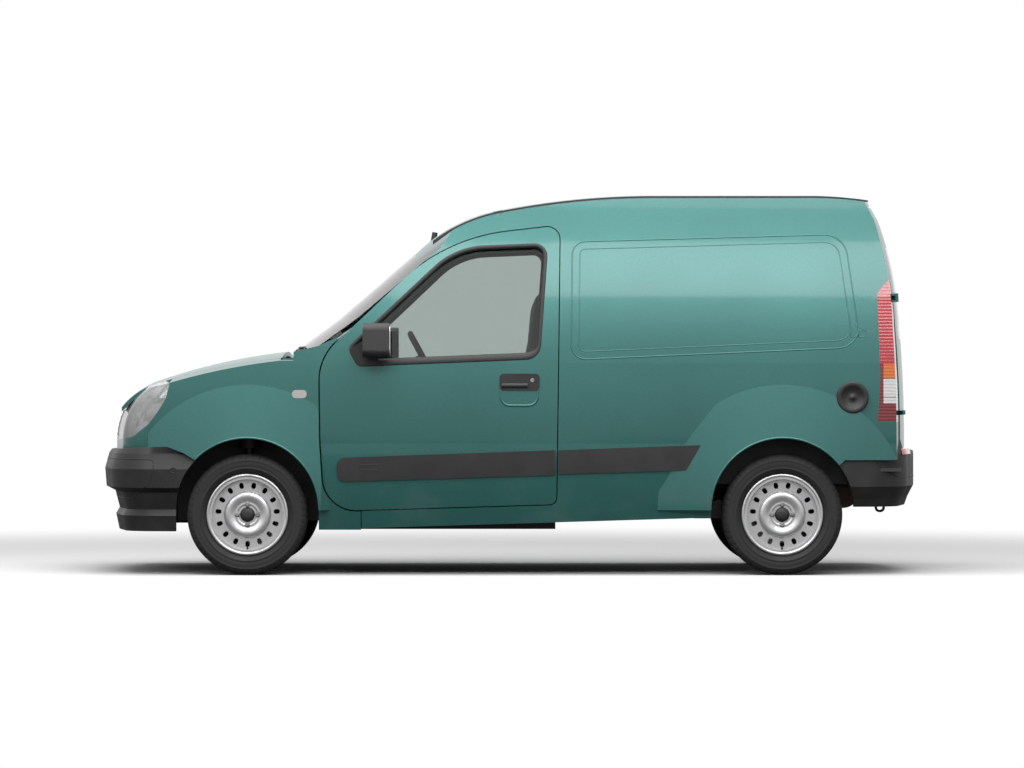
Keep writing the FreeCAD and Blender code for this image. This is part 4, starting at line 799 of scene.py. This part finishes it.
def bothSides(name, path, normals, width, height, material, body, closed=False):
    # the bead on the left side and its mirror picture on the right
    points, quads = beadAlong(path, normals, width, height, closed)
    flip = np.array([1, -1, 1])
    leftBody = body if body == "chassis" else body + "_left"
    rightBody = body if body == "chassis" else body + "_right"
    makePiece(name + "_left", [(points, quads)], material, leftBody)
    makePiece(name + "_right", [(points * flip, quads[:, ::-1])], material, rightBody)


bumperLines = {
    "front_bumper": [(-2.010, 0.566, 0), (-1.722, 0.562, 0.018), (-1.742, 0.452, 0.060),
                     (-1.838, 0.372, 0.030), (-1.990, 0.372, 0)],
    "rear_bumper": [(2.010, 0.644, 0), (1.748, 0.640, 0.018), (1.790, 0.530, 0.080),
                    (1.890, 0.478, 0.030), (2.010, 0.474, 0)],
    "dimples": [("front_bumper", -1.630, 0.510), ("rear_bumper", 1.620, 0.595)],
    "cup": [(0, -0.0015), (0.008, -0.001), (0.012, 0.0012), (0.0145, 0.0018), (0.0165, -0.001)],
    "width": 0.005,
    "height": 0.0022,
    "fromY": -1.3,
}


def makeBumperLines():
    for name in ("front_bumper", "rear_bumper"):
        line = bent(bumperLines[name])
        path, normals = layOnSide(name, line, bumperLines["fromY"])
        bothSides(name + "Ledge", path, normals, bumperLines["width"], bumperLines["height"],
                  finishes["plastic"], "chassis")
    for k, (name, x, z) in enumerate(bumperLines["dimples"]):
        path, normals = laidOn(name, [(x, bumperLines["fromY"], z)], (0, 1, 0))
        for side, flip in (("left", 1), ("right", -1)):
            mirror = np.array([1, flip, 1])
            cup = lathe(bumperLines["cup"], 32, path[0] * mirror, normals[0] * mirror)
            makePiece("dimple" + str(k) + "_" + side, [cup], finishes["plastic"], "chassis")


handle = {
    "scoop": [(-0.041, 0.893, 0), (-0.041, 0.824, 0.045), (0.139, 0.824, 0.045), (0.139, 0.893, 0)],
    "grip": [(-0.036, 0.921, 0), (0.090, 0.921, 0)],
    "lock": (0.112, -1.1, 0.946),
    "barrel": [(0, 0.0012), (0.0015, 0.0012), (0.0028, 0.0032), (0.0085, 0.0034), (0.0105, 0.002),
               (0.011, -0.001)],
}


def makeHandleBits():
    # a U-shaped ridge under the handle for the scoop's edge, the grip bar and the lock's barrel
    scoop = bent(handle["scoop"])
    path, normals = layOnSide("front_door_left", scoop)
    bothSides("scoopEdge", path, normals, 0.013, 0.0035, finishes["paint"], "door")
    grip = bent(handle["grip"])
    path, normals = layOnSide("door_fittings_left", grip)
    bothSides("gripBar", path, normals, 0.026, 0.009, finishes["plastic"], "door")
    path, normals = laidOn("door_fittings_left", [handle["lock"]], (0, 1, 0))
    for side, flip in (("left", 1), ("right", -1)):
        mirror = np.array([1, flip, 1])
        barrel = lathe(handle["barrel"], 32, path[0] * mirror, normals[0] * mirror)
        makePiece("doorLock_" + side, [barrel], finishes["cast"], "door_" + side)


fuelCap = {
    "proudY": 0.8125,
    "dish": [(0, -0.006), (0.006, -0.006), (0.010, -0.009), (0.020, -0.012), (0.034, -0.010),
             (0.046, -0.005), (0.051, -0.0035), (0.053, -0.0015), (0.062, -0.0005), (0.070, 0),
             (0.0745, -0.001), (0.0775, -0.004)],
    "rim": (0.078, 0.0),
}


def makeFuelCap():
    # a dished disc with a rim and a small boss, turned round an axis that looks to the left
    low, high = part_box("fuel_cap")
    centre = np.array([(low[0] + high[0]) / 2, high[1], (low[2] + high[2]) / 2])
    out = fuelCap["proudY"] + high[1]
    profile = [(radius, out + rise) for radius, rise in fuelCap["dish"]] + [fuelCap["rim"]]
    piece = makePiece("fuelCap", [lathe(profile, 120, centre, (0, -1, 0))], finishes["plastic"], "chassis")
    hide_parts("fuel_cap")


stripOval = {
    "corners": [(-0.725, 0.511), (-0.630, 0.511), (-0.630, 0.538), (-0.725, 0.538)],
    "radius": 0.0125,
    "step": 0.004,
    "width": 0.004,
    "height": 0.0018,
}


def makeStripBadge():
    # the oval frame in the rub strip, left bare
    oval = bent([(x, z, stripOval["radius"]) for x, z in stripOval["corners"]], stripOval["step"], True)
    path, normals = layOnSide("door_fittings_left", oval)
    bothSides("stripOval", path, normals, stripOval["width"], stripOval["height"], finishes["rubber"],
              "door", True)


pressing = {
    "outer": [(0.300, 1.046, 0.070), (1.690, 1.107, 0.110), (1.699, 1.180, 0.200), (1.634, 1.660, 0.110),
              (0.308, 1.622, 0.065)],
    "inset": 0.037,
    "outerBead": (0.007, 0.0022),
    "innerBead": (0.005, 0.0014),
}


def makePressing():
    # the two edges of the load side's pressed panel: beads on an outline and on that outline moved inwards
    line = bent(pressing["outer"], 0.012, True)
    inner = line + inwardNormals(line) * pressing["inset"]
    for name, edge, (width, height) in (("pressOuter", line, pressing["outerBead"]),
                                        ("pressInner", inner, pressing["innerBead"])):
        path, normals = layOnSide("body_side_left", edge)
        bothSides(name, path, normals, width, height, finishes["paint"], "chassis", True)


archLip = {
    "centreZ": 0.317,
    "radius": 0.3515,
    "width": 0.010,
    "height": 0.0030,
    "from": 4.0,
    "to": 176.0,
    "innerY": -0.74,
    "fromY": -1.1,
    "steps": 120,
}


def makeArchLips():
    # a rolled bead round each wheel opening, from sill to sill
    turn = np.radians(np.linspace(archLip["from"], archLip["to"], archLip["steps"]))
    for end, x, name in (("front", shell["frontX"], "front_wing_left"),
                         ("rear", shell["frontX"] + shell["wheelbase"], "body_side_left")):
        start = np.stack([x + archLip["radius"] * np.cos(turn), np.full(len(turn), archLip["fromY"]),
                          archLip["centreZ"] + archLip["radius"] * np.sin(turn)], axis=1)
        path, normals = laidOn(name, start, (0, 1, 0))
        keep = path[:, 1] < archLip["innerY"]
        bothSides(end + "ArchLip", path[keep], normals[keep], archLip["width"], archLip["height"],
                  finishes["paint"], "chassis")


gutterCover = {
    "x": -0.055,
    "half": 0.022,
    "y": -0.597,
    "fromZ": 2.3,
    "points": 8,
    "width": 0.020,
    "height": 0.004,
}


def makeGutterCovers():
    # a small cover on the front part of each roof moulding, one to a side: a flat half-round length
    along = np.linspace(gutterCover["x"] - gutterCover["half"], gutterCover["x"] + gutterCover["half"],
                        gutterCover["points"])
    y, z = np.full_like(along, gutterCover["y"]), np.full_like(along, gutterCover["fromZ"])
    path, normals = laidOn("roof_trim", np.stack([along, y, z], axis=1), (0, 0, -1))
    bothSides("gutterCover0", path, normals, gutterCover["width"], gutterCover["height"],
              finishes["plastic"], "chassis")


mirrorGlass = {
    "outline": [(-0.968, 1.074, 0.022), (-0.852, 1.070, 0.014), (-0.848, 1.203, 0.020),
                (-0.960, 1.212, 0.028)],
    "step": 0.006,
    "x": -0.5765,
    "proud": 0.0018,
    "sunk": 0.001,
}


def makeMirrorGlass():
    # a thin silvered plate on each mirror head's rear face, its outline a rounded rectangle
    outline = roundedOutline(mirrorGlass["outline"], mirrorGlass["step"])
    y, z = outline[:, 0], outline[:, 1]
    x = np.full(len(y), mirrorGlass["x"])
    front = np.stack([x + mirrorGlass["proud"], y, z], axis=1)
    middle = np.array([[x[0] + mirrorGlass["proud"], y.mean(), z.mean()]])
    back = np.stack([x - mirrorGlass["sunk"], y, z], axis=1)
    count = len(y)
    points = np.vstack([front, back, middle])
    k = np.arange(count)
    nextK = (k + 1) % count
    wall = np.stack([k, k + count, nextK + count, nextK], axis=1)
    fan = np.stack([k, nextK, np.full(count, 2 * count)], axis=1)
    for side, flip in (("left", 1), ("right", -1)):
        quads = [wall, fan] if flip > 0 else [wall[:, ::-1], fan[:, ::-1]]
        makePiece("mirrorGlass_" + side, [(points * np.array([1, flip, 1]), quads)], finishes["chrome"],
                  "door_" + side, smooth=False)


reflector = {"line": [(1.912, 0.598, 0), (1.972, 0.598, 0)], "width": 0.034, "height": 0.003}


def makeReflector():
    # the red reflectors on the rear bumper's corners, a low half-round pad a side
    oblong = bent(reflector["line"])
    path, normals = layOnSide("rear_bumper", oblong)
    bothSides("bumperReflector", path, normals, reflector["width"], reflector["height"],
              finishes["reflector"], "chassis")


makePressing()
makeReflector()
makeArchLips()
makeGutterCovers()
makeMirrorGlass()
makeBumperLines()
makeHandleBits()
makeFuelCap()
makeStripBadge()
print("body details made")


# Rubber round the door windows

windowSeal = {
    "outline": [(0.537, 1.014, 0.040), (1.422, 1.050, 0.075), (1.463, 1.617, 0.062), (1.010, 1.598, 0.380),
                (0.487, 1.105, 0.040)],
    "width": 0.021,
    "bottomWidth": 0.034,
    "bottomGain": 1.4,
    "bottomFrom": 0.3,
    "step": 0.012,
    "share": [-0.10, 0.0, 0.12, 0.45, 0.75, 0.93, 1.0, 1.0],
    "depth": [0.0012, -0.0012, -0.0025, -0.0022, -0.0004, 0.004, 0.010, 0.0150],
}


def makeWindowSeal(side):
    # a round-topped lip carried along the window's outline, from the door's skin in to the pane
    outline = [(shell["frontX"] + u, v, r) for u, v, r in windowSeal["outline"]]
    line = evenly(roundedOutline(outline, windowSeal["step"]), windowSeal["step"])
    inward = inwardNormals(line)
    bottom = np.clip(inward[:, 1] * windowSeal["bottomGain"] - windowSeal["bottomFrom"], 0, 1)
    width = windowSeal["width"] + (windowSeal["bottomWidth"] - windowSeal["width"]) * bottom
    share = np.array(windowSeal["share"])
    place = line[:, None, :] + inward[:, None, :] * (width[:, None] * share)[:, :, None]
    y = skinY(place[:, :, 0], place[:, :, 1]) + np.array(windowSeal["depth"])
    points = np.stack([place[:, :, 0], y, place[:, :, 1]], axis=2).reshape(-1, 3)
    quads = gridFaces(len(line), len(share), closeRows=True)
    if side == "right":
        points = points * np.array([1, -1, 1])
        quads = quads[:, ::-1]
    makePiece("windowSeal_" + side, [(points, quads)], finishes["rubber"], "door_" + side)


for side in ("left", "right"):
    makeWindowSeal(side)
print("seals made")


# Seats: padded covers blown up over the plain seat solids

seatPad = {"voxel": 0.016, "pressure": 4.0, "frames": 20, "swell": 0.010, "apart": 0.740}


def copyNode(name, newName):
    # the node's triangles, joined into one closed mesh
    mesh = nodes[name].data.copy()
    piece = bpy.data.objects.new(newName, mesh)
    bpy.context.scene.collection.objects.link(piece)
    weld = piece.modifiers.new("weld", "WELD")
    weld.merge_threshold = 0.0001
    remesh = piece.modifiers.new("remesh", "REMESH")
    remesh.mode = "VOXEL"
    remesh.voxel_size = seatPad["voxel"]
    bakeModifiers(piece)
    return piece


def bakeModifiers(piece):
    graph = bpy.context.evaluated_depsgraph_get()
    mesh = bpy.data.meshes.new_from_object(piece.evaluated_get(graph))
    piece.modifiers.clear()
    piece.data = mesh


def readPoints(mesh):
    flat = np.empty(len(mesh.vertices) * 3)
    mesh.vertices.foreach_get("co", flat)
    return flat.reshape(-1, 3)


def inflate(piece):
    # cloth under gentle pressure, with each point held within the swell of where it started
    start = readPoints(piece.data)
    cloth = piece.modifiers.new("cloth", "CLOTH")
    cloth.settings.use_pressure = True
    cloth.settings.uniform_pressure_force = seatPad["pressure"]
    cloth.settings.effector_weights.gravity = 0
    cloth.settings.tension_stiffness = 12
    cloth.settings.compression_stiffness = 12
    for step in range(1, seatPad["frames"] + 1):
        bpy.context.scene.frame_set(step)
    bakeModifiers(piece)
    bpy.context.scene.frame_set(1)
    moved = readPoints(piece.data) - start
    reach = np.linalg.norm(moved, axis=1, keepdims=True)
    capped = start + moved * np.minimum(1, seatPad["swell"] / np.maximum(reach, 1e-9))
    piece.data.vertices.foreach_set("co", capped.ravel())


def roundOff(piece):
    smooth = piece.modifiers.new("round", "SUBSURF")
    smooth.levels = 1
    smooth.render_levels = 1


def makeSeats():
    left = copyNode("seat_left", "paddedSeat_left")
    inflate(left)
    left.data.polygons.foreach_set("use_smooth", np.full(len(left.data.polygons), True))
    left.data.materials.clear()
    left.data.materials.append(finishes["cloth"])
    roundOff(left)
    right = bpy.data.objects.new("paddedSeat_right", left.data.copy())
    bpy.context.scene.collection.objects.link(right)
    points = readPoints(right.data) + np.array([0, seatPad["apart"], 0])
    right.data.vertices.foreach_set("co", points.ravel())
    roundOff(right)
    for piece, node in ((left, "seat_left"), (right, "seat_right")):
        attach(piece, "chassis")
        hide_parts(node)


makeSeats()
print("seats padded")
